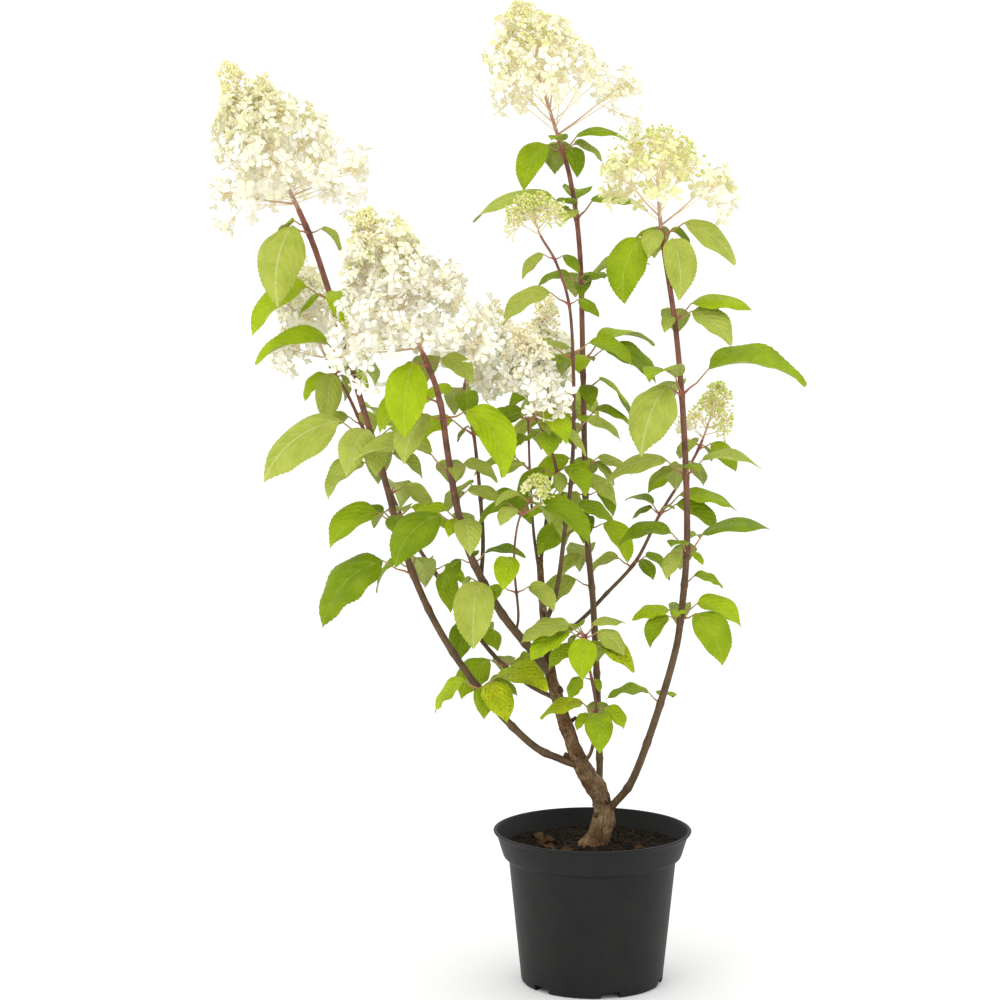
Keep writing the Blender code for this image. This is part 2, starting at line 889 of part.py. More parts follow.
def leaf_sections(root, bearing, length, hang, lift, room=0.0):
    """A leaf's sections from its foot in the stem to its tip: two of its petiole, then its blade's."""
    line = leaf_midrib(root, bearing, length, hang, lift)
    fold = math.radians(BLADE_FOLD_DEG)

    def section(place, up, side, half_width, half_height, rise):
        """Left, top, right and bottom of the leaf at one place, with its sides raised a little."""
        left, right = side * half_width + up * rise, -side * half_width + up * rise
        return [place + left, place + up * half_height, place + right, place - up * half_height]

    stalk = PETIOLE_RADIUS + room
    sections = [
        section(root, *line[0][1:], stalk, stalk, 0.0),
        section(*line[0], stalk, stalk * 0.8, 0.0),
    ]
    for index, width in BLADE_ROWS:
        place, up, side = line[index]
        half_width = (BLADE_WIDTH * length / 2 + room) * width
        half_height = BLADE_THICKNESS * length / 2 + room
        half_width, rise = half_width * math.cos(fold), half_width * math.sin(fold)
        sections.append(section(place, up, side, half_width, half_height, rise))
    sections.append([line[-1][0]])
    return sections


class Room:
    """What is already taken up, so that a new leaf or floret can be kept clear of it."""

    def __init__(self):
        self.taken = []

    def take(self, owner, points, faces):
        """Marks a shape's space as its owner's."""
        self.taken.append((owner, tree_of(points, faces)))

    def is_free(self, points, faces, but_for=()):
        """Whether a shape touches nothing, leaving out what some owners have taken."""
        tree = tree_of(points, faces)
        return not any(
            owner not in but_for and tree.overlap(other) for owner, other in self.taken
        )


def envelope_radius(bloom, share):
    """A panicle's outer radius at a share of its height: full at its foot, narrow at its tip."""
    return bloom.radius * (1 - share) ** bloom.taper


def floret_cluster(start, parting, axis, stalk_radius, depth, floret_radius):
    """Points and faces of a flower branch that parts into five florets, one ahead and four round it.

    Each floret is a four-cornered funnel, so its corners stand for its four petals.
    """
    side, up = across(axis)

    def ring(centre, radius):
        turns = [math.radians(45 + 90 * corner) for corner in range(4)]
        return [centre + (side * math.cos(turn) + up * math.sin(turn)) * radius for turn in turns]

    hub = parting + axis * 0.003
    points = [*ring(start, stalk_radius), *ring(parting, 0.0016), *ring(hub, 0.0020)]
    faces = [(3, 2, 1, 0)]
    funnels = [((8, 9, 10, 11), axis)]
    for corner in range(4):
        following = (corner + 1) % 4
        faces.append((corner, following, 4 + following, 4 + corner))
        turn = math.radians(90 + 90 * corner)
        sideways = side * math.cos(turn) + up * math.sin(turn)
        outward = axis * math.cos(FLORET_TILT) + sideways * math.sin(FLORET_TILT)
        funnels.append(((4 + corner, 4 + following, 8 + following, 8 + corner), outward))
    for root, outward in funnels:
        across_root = points[root[1]] - points[root[0]]
        across_root = (across_root - outward * across_root.dot(outward)).normalized()
        along_root = outward.cross(across_root)
        if along_root.dot(points[root[2]] - points[root[1]]) < 0:
            along_root = -along_root
        head = len(points)
        for first, second in ((-1, -1), (1, -1), (1, 1), (-1, 1)):
            corner = (across_root * first + along_root * second) * floret_radius / math.sqrt(2)
            points.append(hub + outward * depth + corner)
        for corner in range(4):
            following = (corner + 1) % 4
            faces.append((root[corner], root[following], head + following, head + corner))
        faces.append((head, head + 1, head + 2, head + 3))
    return points, faces


def panicle_shapes(limb, room):
    """A panicle's stalk, and its branches that part into florets, as points and faces."""
    bloom = limb.cane.bloom
    draw = random.Random(f"{SEED} {limb.cane.name}")
    base = limb.stem_end + GAP / 2
    length = limb.curve.length - base
    stalk_end = limb.curve.length - 0.04 * length
    shapes = [tube(limb.curve, base, stalk_end, limb.radius, RACHIS_SIDES, length / 3)]
    turn = math.radians(bloom.turn)
    for branch in range(bloom.branches):
        share = 0.04 + 0.90 * (branch / bloom.branches) ** BRANCH_SPACING
        distance = base + length * share
        centre = limb.curve.at(distance)
        direction = limb.curve.direction(distance).lerp(Vector((0, 0, 1)), bloom.upright)
        direction.normalize()
        side, up = across(direction)
        spoke = up * math.sin(turn) - side * math.cos(turn)
        turn += GOLDEN_ANGLE
        lean = math.radians(bloom.lean + (TOP_LEAN_DEG - bloom.lean) * share)
        axis = spoke * math.cos(lean) + direction * math.sin(lean)
        reach = envelope_radius(bloom, share)
        for size in BRANCH_SIZES:
            part_at = centre + axis * reach * PARTING * size
            depth = reach * (1 - PARTING) * size * draw.uniform(0.85, 1.0)
            radius = min(FLORET_RADIUS, depth * 0.66)
            stalk_radius = limb.radius(distance) * 0.6
            shape = floret_cluster(centre, part_at, axis, stalk_radius, depth, radius)
            if room.is_free(*shape):
                shapes.append(shape)
                break
    return shapes


def add_panicle(limb, shapes):
    """A panicle's solid: its stalk with its branches fused on."""
    stalk, *branches = shapes
    made = add_object(f"{limb.cane.name}_panicle", *stalk, "petals")
    fuse(made, [add_object("branch", *branch, "petals") for branch in branches])


def place_leaves(limb, room):
    """The leaves of a cane as points and faces, each kept clear of all that is there already."""
    cane = limb.cane
    draw = random.Random(f"{SEED} leaves {cane.name}")
    placed = []
    for leaf, joint in zip(cane.leaves, limb.joints):
        root = limb.curve.at(joint)
        bearing = leaf.bearing + draw.uniform(-6, 6)
        length = leaf.length * (1 + draw.uniform(-LENGTH_SPREAD, LENGTH_SPREAD))
        hang = leaf.hang + draw.uniform(-0.08, 0.08)
        for turn, lift in [(turn, lift) for lift in LIFTS_DEG for turn in TURNS_DEG]:
            where = math.radians(bearing + turn)
            wide = leaf_sections(root, where, length, hang, lift, LEAF_ROOM)
            blade, stalk = loft(wide[1:]), loft(wide[:2])
            if room.is_free(*blade) and room.is_free(*stalk, but_for=(cane.name,)):
                room.take(cane.name + " blades", *blade)
                placed.append(loft(leaf_sections(root, where, length, hang, lift)))
                break
    return placed


def add_shoot(limb, start, earlier, room):
    """A leafy shoot: its stem with its leaves fused on."""
    name = limb.cane.name
    end = limb.stem_end - GAP / 2 if limb.cane.bloom else limb.stem_end
    made = add_stretch(f"{name}_leaves", limb, start, end, earlier, "leaf")
    fuse(made, [add_object("leaf", *leaf, "leaf") for leaf in place_leaves(limb, room)])


def lathe(profile, sides):
    """Points and faces of a closed turned shape; the profile starts and ends on the axis."""
    points = [Vector((0, 0, profile[0][1])), Vector((0, 0, profile[-1][1]))]
    rings = profile[1:-1]
    for radius, height in rings:
        for corner in range(sides):
            angle = math.tau * corner / sides
            points.append(Vector((radius * math.cos(angle), radius * math.sin(angle), height)))
    faces = []
    for corner in range(sides):
        following = (corner + 1) % sides
        faces.append((0, 2 + following, 2 + corner))
        last = 2 + (len(rings) - 1) * sides
        faces.append((1, last + corner, last + following))
        for ring in range(len(rings) - 1):
            low = 2 + ring * sides
            high = low + sides
            faces.append((low + corner, low + following, high + following, high + corner))
    return points, faces


def wall_radius(height):
    """The inside radius of the pot's body at a height."""
    share = height / (SHELF_HEIGHT - 0.003)
    return BODY_FOOT_RADIUS + (BODY_TOP_RADIUS - BODY_FOOT_RADIUS) * share - POT_WALL


def add_pot():
    """The pot: a tapered body, a shelf and a flared rim, and an underside with a drainage channel."""
    shelf = SHELF_HEIGHT
    profile = (
        (0.0, 0.0),
        (CHANNEL_INNER_RADIUS, 0.0),
        (CHANNEL_INNER_RADIUS + 0.002, CHANNEL_DEPTH),
        (CHANNEL_OUTER_RADIUS, CHANNEL_DEPTH),
        (CHANNEL_OUTER_RADIUS + 0.003, 0.0),
        (BODY_FOOT_RADIUS - 0.002, 0.0),
        (BODY_FOOT_RADIUS, 0.0025),
        (BODY_TOP_RADIUS, shelf - 0.003),
        (SHELF_RADIUS - 0.0015, shelf),
        (SHELF_RADIUS, shelf + 0.003),
        (RIM_RADIUS - 0.004, POT_HEIGHT - 0.005),
        (RIM_RADIUS, POT_HEIGHT - 0.001),
        (RIM_RADIUS - 0.0040, POT_HEIGHT),
        (RIM_RADIUS - 0.0060, POT_HEIGHT - 0.006),
        (SHELF_RADIUS - POT_WALL, shelf + 0.005),
        (BODY_TOP_RADIUS - POT_WALL, shelf + 0.001),
        (wall_radius(FLOOR_TOP), FLOOR_TOP),
        (0.0, FLOOR_TOP),
    )
    pot = add_object("pot", *lathe(profile, POT_SIDES), "pot plastic")
    reach = BODY_FOOT_RADIUS - CHANNEL_OUTER_RADIUS + 0.012
    for notch in range(DRAIN_NOTCHES):
        turn = math.tau * notch / DRAIN_NOTCHES + math.radians(NOTCH_TURN_DEG - 90)
        work = bmesh.new()
        bmesh.ops.create_cube(work, size=1.0)
        sized = Matrix.Diagonal((reach, NOTCH_WIDTH, 2 * (CHANNEL_DEPTH - 0.0008), 1))
        outward = Matrix.Translation((CHANNEL_OUTER_RADIUS + reach / 2 - 0.004, 0, 0))
        placed = Matrix.Rotation(turn, 4, "Z") @ outward @ sized
        bmesh.ops.transform(work, matrix=placed, verts=work.verts)
        mesh = bpy.data.meshes.new("notch")
        work.to_mesh(mesh)
        work.free()
        cutter = bpy.data.objects.new("notch", mesh)
        bpy.context.scene.collection.objects.link(cutter)
        apply_boolean(pot, "DIFFERENCE", other=cutter)
        drop([cutter])
    pot.data.shade_smooth()
    pot.data.set_sharp_from_angle(angle=math.radians(35))


def add_compost():
    """The compost that fills the pot, with an uneven top that is flat round the trunk's foot."""
    bottom = FLOOR_TOP + GAP
    shelf = SHELF_HEIGHT
    clear = GAP * 2
    profile = (
        (0.0, bottom),
        (wall_radius(bottom) - clear, bottom),
        (BODY_TOP_RADIUS - POT_WALL - clear, shelf + 0.0018),
        (SHELF_RADIUS - POT_WALL - clear, shelf + 0.0062),
        (SHELF_RADIUS - POT_WALL - clear, GROUND - 0.001),
        (0.078, GROUND),
        (0.056, GROUND),
        (FLAT_PATCH_RADIUS, GROUND),
        (0.0, GROUND),
    )
    points, faces = lathe(profile, COMPOST_SIDES)
    for point in points:
        away = math.hypot(point.x, point.y)
        if point.z >= GROUND - 0.002 and away > FLAT_PATCH_RADIUS + 0.001:
            point.z += COMPOST_RELIEF * noise.noise(point * 30)
    add_object("compost", points, faces, "compost")


def build():
    """Clears the scene and makes every solid."""
    drop(list(bpy.data.objects))
    add_pot()
    add_compost()
    trunk = Trunk(TRUNK)
    limbs = [Limb(cane) for cane in CANES]
    room = Room()
    for limb in (trunk, *limbs):
        room.take(limb.cane.name, *limb.stretch(0.0, limb.stem_end, clearance=LIMB_ROOM))
    fork = trunk.curve.at_height(TRUNK.bare_to)
    foot = add_stretch("trunk", trunk, 0.0, fork - GAP / 2, [], "old bark")
    cut_flat_at_ground(foot)
    add_stretch("leader", trunk, fork + GAP / 2, trunk.curve.length, [], "old bark")
    for limb in limbs:
        if limb.cane.bloom:
            shapes = panicle_shapes(limb, room)
            add_panicle(limb, shapes)
            for shape in shapes:
                room.take(limb.cane.name + " panicle", *shape)
    earlier = [trunk]
    for limb in limbs:
        start = 0.0
        if limb.cane.bare_to:
            bare = limb.curve.at_height(limb.cane.bare_to)
            add_stretch(f"{limb.cane.name}_cane", limb, 0.0, bare - GAP / 2, earlier, "cane bark")
            start = bare + GAP / 2
        add_shoot(limb, start, earlier, room)
        earlier.append(limb)


build()
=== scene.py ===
"""The looks of a panicle hydrangea in its nursery pot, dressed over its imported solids.

Units are metres and +Z is up. The plant grows here by the rule of its solids: each cane is one
curve from its foot to the tip of its panicle, its leaves stand at its joints, and its flower
branches turn round its stalk by the golden angle. The rule is carried on to toothed blades with
veins, petioles, florets of four tepals, buds, bark and crumbs of compost.
"""

import logging
import math
import random
from dataclasses import dataclass, field
from enum import Enum, IntEnum
from functools import partial
from typing import Callable, NamedTuple, Sequence

import bmesh
import bpy
import numpy as np
from mathutils import Euler, Matrix, Vector, noise
from mathutils.bvhtree import BVHTree


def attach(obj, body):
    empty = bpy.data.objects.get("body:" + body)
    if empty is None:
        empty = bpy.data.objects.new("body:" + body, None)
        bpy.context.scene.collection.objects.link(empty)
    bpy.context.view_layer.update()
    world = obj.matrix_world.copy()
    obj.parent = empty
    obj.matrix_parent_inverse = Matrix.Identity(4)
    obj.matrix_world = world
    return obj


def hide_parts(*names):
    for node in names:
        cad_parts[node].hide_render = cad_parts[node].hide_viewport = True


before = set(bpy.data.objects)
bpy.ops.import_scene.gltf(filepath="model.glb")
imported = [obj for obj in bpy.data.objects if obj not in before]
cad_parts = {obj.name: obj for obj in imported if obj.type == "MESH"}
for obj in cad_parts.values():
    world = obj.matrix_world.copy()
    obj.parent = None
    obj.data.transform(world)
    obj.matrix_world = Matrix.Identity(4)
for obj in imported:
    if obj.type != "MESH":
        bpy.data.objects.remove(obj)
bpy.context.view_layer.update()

LOG = logging.getLogger("hydrangea")
BODY = "root"
SEED = 11
GOLDEN_ANGLE = math.radians(137.5)

# Places that the solids share with this file
GROUND = 0.158
GAP = 0.0003
LIMB_ROOM = 0.0012
LEAF_ROOM = 0.0022
RING_SPACING = 0.046

# A leaf's growth, as shares of its own length and as angles
BLADE_WIDTH = 0.56
BLADE_THICKNESS = 0.014
BLADE_FOLD_DEG = 20.0
PETIOLE_SHARE = 0.36
PETIOLE_RADIUS = 0.0013
PETIOLE_LIFT_DEG = 42.0
BLADE_LIFT_DEG = 14.0
HANG_DEG = 50.0
DROOP_DEG = 62.0
BLADE_ROLL_DEG = 36.0
LENGTH_SPREAD = 0.06
BLADE_STEPS = 12
BLADE_ROWS = ((4, 0.96), (9, 0.66))
TURNS_DEG = (0, 10, -10, 20, -20, 32, -32, 45, -45)
LIFTS_DEG = (0, 14, -14, 28)

# A panicle's growth: how far its stalk stops under its tip, and where its branches stand
RACHIS_SHORT = 0.04
BRANCH_FROM = 0.04
BRANCH_RANGE = 0.90
BRANCH_SPACING = 1.15
PARTING = 0.50
FLORET_RADIUS = 0.018
FLORET_TILT = math.radians(62)
TOP_LEAN_DEG = 72.0
BRANCH_SIZES = (1.0, 0.8, 0.6)
RACHIS_SIDES = 5
CANE_SIDES = 6
TRUNK_SIDES = 10
# The pieces of each rounded edge of the pot
ROUNDING_STEPS = 3

# Names of what is painted on a mesh
BLADE_MAP = "blade"
AGE = "age"


class Leaf(NamedTuple):
    """A leaf on a cane: its foot's height, its bearing in degrees, its length and how it hangs."""

    height: float
    bearing: float
    length: float
    hang: float


class Bloom(NamedTuple):
    """A panicle: its tip, its widest radius and its flower branches.

    taper is the power by which it narrows, lean and turn are its lowest branch's rise and
    bearing, and upright is how far its branches have turned up to the light. Its florets are
    white up to the share white_to of its height, cream up to green_from, and yellow-green buds
    above that. fullness is its count of short branches against a full panicle's.
    """

    tip: tuple
    radius: float
    branches: int
    taper: float
    lean: float
    turn: float
    upright: float
    white_to: float
    green_from: float
    fullness: float


class Cane(NamedTuple):
    """A limb from its foot to the base of its panicle. It has no leaves below bare_to."""

    name: str
    path: tuple
    foot_radius: float
    tip_radius: float
    bare_to: float
    leaves: tuple
    bloom: Bloom | None


TRUNK = Cane(
    "trunk",
    (
        (-0.005, 0.002, 0.148), (0.008, 0.008, 0.171), (0.015, 0.013, 0.193), (0.007, 0.012, 0.217),
        (-0.014, 0.004, 0.254), (-0.025, 0.000, 0.284), (-0.043, 0.000, 0.338), (-0.054, 0.006, 0.398),
        (-0.060, 0.018, 0.471), (-0.061, 0.022, 0.492),
    ),
    0.0118, 0.0034, 0.366,
    (),
    None,
)

CANES = (
    Cane(
        "left",
        (
            (-0.014, 0.002, 0.251), (-0.038, -0.004, 0.261), (-0.072, -0.008, 0.280),
            (-0.127, -0.012, 0.339), (-0.179, -0.010, 0.417), (-0.216, 0.000, 0.502),
            (-0.238, 0.006, 0.582), (-0.281, 0.018, 0.724), (-0.304, 0.024, 0.804),
            (-0.336, 0.030, 0.889),
        ),
        0.0044, 0.0032, 0.463,
        (
            Leaf(0.473, 185, 0.114, 0.65), Leaf(0.478, 75, 0.060, 0.5), Leaf(0.529, 192, 0.070, 0.4),
            Leaf(0.531, 172, 0.060, 0.1), Leaf(0.533, 8, 0.060, 0.25), Leaf(0.591, 188, 0.064, 0.60),
            Leaf(0.593, 95, 0.064, 0.5), Leaf(0.616, 10, 0.060, 0.3), Leaf(0.618, 180, 0.124, 0.42),
            Leaf(0.622, 275, 0.050, 0.9), Leaf(0.704, 178, 0.092, 0.05), Leaf(0.706, 60, 0.060, 0.6),
            Leaf(0.783, 172, 0.092, 0.45), Leaf(0.785, 40, 0.060, 0.6), Leaf(0.858, 236, 0.102, 1.15),
            Leaf(0.861, 20, 0.042, 0.8), Leaf(0.864, 140, 0.050, 0.9),
        ),
        Bloom((-0.420, 0.035, 1.058), 0.110, 12, 0.95, 10, 200, 0.75, 0.30, 0.66, 0.85),
    ),
    Cane(
        "middle",
        (
            (-0.051, -0.004, 0.363), (-0.072, -0.012, 0.390), (-0.107, -0.028, 0.437),
            (-0.140, -0.050, 0.503), (-0.155, -0.070, 0.562), (-0.165, -0.088, 0.625),
            (-0.173, -0.100, 0.681), (-0.191, -0.112, 0.733),
        ),
        0.0052, 0.0030, 0.455,
        (
            Leaf(0.466, 252, 0.078, 1.25), Leaf(0.487, 185, 0.045, 0.9), Leaf(0.490, 350, 0.050, -0.3),
            Leaf(0.537, 205, 0.078, 0.5), Leaf(0.539, 172, 0.052, 0.1), Leaf(0.542, 80, 0.050, 0.4),
            Leaf(0.567, 5, 0.048, 0.0), Leaf(0.593, 176, 0.090, -0.25), Leaf(0.595, 85, 0.060, 0.4),
            Leaf(0.597, 352, 0.045, 0.3), Leaf(0.657, 333, 0.092, 0.85), Leaf(0.675, 165, 0.070, 0.5),
            Leaf(0.716, 245, 0.084, 1.2), Leaf(0.718, 100, 0.060, 0.6),
        ),
        Bloom((-0.256, -0.130, 0.886), 0.102, 12, 0.75, 2, 190, 0.55, 0.52, 0.80, 0.9),
    ),
    Cane(
        "tall",
        (
            (0.006, 0.012, 0.214), (0.009, 0.022, 0.240), (0.008, 0.030, 0.285), (0.006, 0.034, 0.346),
            (0.001, 0.038, 0.439), (-0.007, 0.038, 0.533), (-0.012, 0.032, 0.729), (-0.016, 0.024, 0.843),
            (-0.026, 0.016, 0.917), (-0.040, 0.009, 0.967),
        ),
        0.0042, 0.0027, 0.440,
        (
            Leaf(0.452, 185, 0.060, 0.5), Leaf(0.486, 95, 0.070, 0.3), Leaf(0.519, 348, 0.055, 0.8),
            Leaf(0.521, 190, 0.062, 0.5), Leaf(0.524, 265, 0.040, 0.6), Leaf(0.550, 240, 0.060, 0.9),
            Leaf(0.587, 185, 0.055, 0.4), Leaf(0.589, 10, 0.050, 0.2), Leaf(0.591, 95, 0.060, 0.4),
            Leaf(0.635, 200, 0.050, 0.5), Leaf(0.637, 20, 0.052, 0.2), Leaf(0.668, 35, 0.075, 0.6),
            Leaf(0.699, 176, 0.066, -0.1), Leaf(0.701, 2, 0.082, 0.35), Leaf(0.703, 262, 0.042, 0.2),
            Leaf(0.705, 24, 0.082, -0.2), Leaf(0.707, 110, 0.060, 0.4), Leaf(0.791, 275, 0.040, 0.0),
            Leaf(0.793, 12, 0.072, -0.5), Leaf(0.795, 90, 0.060, 0.3), Leaf(0.875, 178, 0.104, 0.0),
            Leaf(0.877, 5, 0.080, -0.2), Leaf(0.879, 80, 0.060, -0.4), Leaf(0.949, 300, 0.040, 0.9),
            Leaf(0.953, 5, 0.062, -0.25), Leaf(0.953, 208, 0.060, 0.75), Leaf(0.953, 100, 0.060, 0.4),
        ),
        Bloom((-0.087, 0.000, 1.112), 0.112, 8, 0.70, 34, 0, 0.9, 0.12, 0.50, 0.62),
    ),
    Cane(
        "right",
        (
            (0.014, 0.013, 0.190), (0.025, 0.012, 0.204), (0.046, 0.004, 0.234), (0.069, -0.010, 0.301),
            (0.090, -0.022, 0.377), (0.098, -0.030, 0.426), (0.104, -0.040, 0.519),
            (0.099, -0.050, 0.644), (0.089, -0.050, 0.756), (0.072, -0.050, 0.868),
        ),
        0.0046, 0.0028, 0.305,
        (
            Leaf(0.324, 185, 0.052, -0.2), Leaf(0.424, 318, 0.074, 0.75), Leaf(0.426, 180, 0.046, -0.1),
            Leaf(0.428, 350, 0.062, 0.2), Leaf(0.430, 90, 0.050, 0.5), Leaf(0.461, 20, 0.038, 0.2),
            Leaf(0.497, 225, 0.036, 0.8), Leaf(0.499, 2, 0.080, -0.4), Leaf(0.501, 90, 0.060, 0.4),
            Leaf(0.503, 178, 0.066, -0.1), Leaf(0.585, 182, 0.074, 0.15), Leaf(0.587, 2, 0.070, -0.1),
            Leaf(0.589, 95, 0.060, 0.4), Leaf(0.673, 238, 0.092, 0.75), Leaf(0.679, 2, 0.122, -0.2),
            Leaf(0.682, 100, 0.070, 0.4), Leaf(0.757, 345, 0.066, 0.45), Leaf(0.760, 4, 0.076, -0.15),
            Leaf(0.763, 90, 0.060, 0.3), Leaf(0.848, 292, 0.078, 1.2), Leaf(0.851, 216, 0.082, 1.1),
            Leaf(0.854, 0, 0.080, 0.45), Leaf(0.854, 95, 0.060, 0.4), Leaf(0.854, 165, 0.030, 0.2),
        ),
        Bloom((0.066, -0.050, 0.950), 0.098, 6, 0.45, 36, 0, 0.6, 0.0, 0.05, 0.4),
    ),
    Cane(
        "back_right",
        (
            (-0.055, 0.008, 0.393), (-0.030, 0.025, 0.404), (-0.007, 0.045, 0.420), (0.016, 0.065, 0.441),
            (0.054, 0.095, 0.478), (0.083, 0.125, 0.529), (0.113, 0.140, 0.575), (0.135, 0.150, 0.616),
        ),
        0.0026, 0.0016, 0.455,
        (
            Leaf(0.468, 165, 0.050, 0.4), Leaf(0.471, 20, 0.045, 0.5), Leaf(0.527, 345, 0.066, 0.3),
            Leaf(0.529, 150, 0.040, -0.4), Leaf(0.531, 8, 0.074, 0.05), Leaf(0.573, 200, 0.045, 0.5),
            Leaf(0.576, 60, 0.055, 0.5), Leaf(0.602, 340, 0.050, 0.6), Leaf(0.605, 120, 0.045, 0.4),
        ),
        Bloom((0.156, 0.160, 0.678), 0.034, 4, 0.60, 20, 180, 0.0, 0.0, 0.0, 0.6),
    ),
    Cane(
        "back_left",
        (
            (-0.043, 0.002, 0.330), (-0.077, 0.030, 0.344), (-0.121, 0.060, 0.379),
            (-0.181, 0.090, 0.461), (-0.220, 0.100, 0.524), (-0.283, 0.110, 0.667),
            (-0.309, 0.110, 0.711),
        ),
        0.0029, 0.0018, 0.350,
        (
            Leaf(0.358, 200, 0.058, 0.6), Leaf(0.358, 20, 0.058, 0.6), Leaf(0.395, 80, 0.050, 0.5),
            Leaf(0.398, 250, 0.050, 0.9), Leaf(0.459, 290, 0.050, 1.0), Leaf(0.462, 110, 0.050, 0.5),
            Leaf(0.550, 80, 0.060, 0.5), Leaf(0.634, 185, 0.050, 0.3), Leaf(0.637, 60, 0.050, 0.4),
            Leaf(0.690, 185, 0.045, 0.7), Leaf(0.692, 262, 0.068, 1.1), Leaf(0.695, 60, 0.055, 0.5),
        ),
        Bloom((-0.364, 0.122, 0.838), 0.066, 6, 0.60, 20, 200, 0.6, 0.45, 0.85, 0.7),
    ),
    Cane(
        "back_middle",
        (
            (-0.128, -0.042, 0.477), (-0.126, -0.015, 0.512), (-0.129, 0.020, 0.558),
            (-0.137, 0.060, 0.629), (-0.148, 0.085, 0.688),
        ),
        0.0025, 0.0017, 0.0,
        (
            Leaf(0.556, 345, 0.060, 0.5), Leaf(0.559, 120, 0.060, 0.5), Leaf(0.627, 178, 0.078, 0.3),
            Leaf(0.630, 20, 0.050, 0.4), Leaf(0.669, 100, 0.055, 0.5), Leaf(0.669, 280, 0.055, 0.5),
        ),
        Bloom((-0.112, 0.112, 0.772), 0.052, 5, 0.55, 20, 40, 0.0, 0.7, 0.95, 0.45),
    ),
    Cane(
        "inner",
        (
            (-0.057, 0.008, 0.410), (-0.042, -0.010, 0.458), (-0.033, -0.020, 0.528),
            (-0.027, -0.030, 0.580), (-0.024, -0.040, 0.643), (-0.025, -0.050, 0.717),
            (-0.030, -0.060, 0.784), (-0.045, -0.075, 0.831), (-0.062, -0.085, 0.860),
        ),
        0.0030, 0.0014, 0.520,
        (
            Leaf(0.541, 20, 0.050, 0.4), Leaf(0.579, 350, 0.050, 0.5), Leaf(0.642, 8, 0.050, 0.2),
            Leaf(0.721, 180, 0.066, 0.3), Leaf(0.724, 350, 0.060, 0.3), Leaf(0.783, 182, 0.068, 0.3),
            Leaf(0.832, 182, 0.036, 0.6),
        ),
        Bloom((-0.074, -0.090, 0.890), 0.038, 4, 0.40, 34, 180, 0.8, 0.0, 0.0, 0.5),
    ),
    Cane(
        "front",
        (
            (-0.033, -0.020, 0.530), (-0.042, -0.050, 0.593), (-0.054, -0.080, 0.637),
            (-0.067, -0.100, 0.665),
        ),
        0.0021, 0.0016, 0.0,
        (
            Leaf(0.592, 200, 0.050, 0.6), Leaf(0.595, 320, 0.045, 0.6), Leaf(0.636, 275, 0.046, 0.4),
            Leaf(0.639, 20, 0.045, 0.5), Leaf(0.656, 178, 0.052, 0.3), Leaf(0.658, 300, 0.050, 0.5),
        ),
        Bloom((-0.084, -0.122, 0.758), 0.050, 5, 0.50, 34, 300, 0.6, 0.7, 0.95, 0.55),
    ),
    Cane(
        "back",
        (
            (-0.060, 0.020, 0.484), (-0.052, 0.055, 0.540), (-0.047, 0.090, 0.592),
            (-0.044, 0.120, 0.642), (-0.045, 0.140, 0.676),
        ),
        0.0022, 0.0015, 0.0,
        (
            Leaf(0.553, 60, 0.058, 0.5), Leaf(0.556, 150, 0.050, 0.5), Leaf(0.630, 60, 0.060, 0.5),
            Leaf(0.633, 170, 0.050, 0.4), Leaf(0.662, 60, 0.062, 0.4), Leaf(0.665, 120, 0.060, 0.5),
            Leaf(0.668, 200, 0.050, 0.4),
        ),
        Bloom((-0.053, 0.178, 0.785), 0.042, 5, 0.55, 30, 90, 0.6, 0.6, 0.9, 0.5),
    ),
    Cane(
        "inner_back",
        (
            (-0.061, 0.020, 0.470), (-0.068, 0.036, 0.520), (-0.072, 0.050, 0.584),
            (-0.074, 0.062, 0.646),
        ),
        0.0019, 0.0012, 0.0,
        (
            Leaf(0.585, 152, 0.060, 0.1), Leaf(0.624, 60, 0.050, 0.3), Leaf(0.643, 200, 0.048, 0.3),
            Leaf(0.643, 320, 0.048, 0.3), Leaf(0.643, 80, 0.048, 0.3),
        ),
        None,
    ),
    Cane(
        "low_front",
        (
            (-0.088, -0.019, 0.412), (-0.086, -0.035, 0.436), (-0.091, -0.070, 0.498),
            (-0.086, -0.100, 0.548), (-0.071, -0.115, 0.575),
        ),
        0.0016, 0.0011, 0.0,
        (
            Leaf(0.455, 172, 0.052, 0.6), Leaf(0.458, 345, 0.045, 0.5), Leaf(0.496, 250, 0.046, 0.7),
            Leaf(0.552, 342, 0.072, 0.45), Leaf(0.555, 150, 0.050, 0.4), Leaf(0.568, 190, 0.034, 0.2),
        ),
        Bloom((-0.062, -0.120, 0.592), 0.014, 3, 0.40, 30, 180, 0.0, 0.0, 0.0, 0.3),
    ),
    Cane(
        "low_middle",
        (
            (-0.014, 0.002, 0.252), (-0.002, -0.014, 0.272), (0.003, -0.032, 0.318),
            (-0.003, -0.050, 0.361), (-0.010, -0.057, 0.392), (-0.011, -0.060, 0.415),
        ),
        0.0023, 0.0014, 0.0,
        (
            Leaf(0.313, 275, 0.056, 0.7), Leaf(0.315, 176, 0.056, 0.1), Leaf(0.318, 80, 0.045, 0.5),
            Leaf(0.361, 200, 0.035, 0.9), Leaf(0.388, 182, 0.042, 0.5), Leaf(0.390, 352, 0.054, 0.35),
            Leaf(0.392, 80, 0.050, 0.4), Leaf(0.404, 268, 0.052, 0.8), Leaf(0.407, 195, 0.060, 0.45),
            Leaf(0.409, 350, 0.042, 0.5), Leaf(0.411, 172, 0.062, 0.0), Leaf(0.411, 30, 0.045, -0.3),
            Leaf(0.411, 110, 0.050, 0.2),
        ),
        None,
    ),
    Cane(
        "low_left",
        (
            (-0.120, -0.011, 0.329), (-0.127, -0.020, 0.338), (-0.130, -0.026, 0.348),
        ),
        0.0014, 0.0011, 0.0,
        (
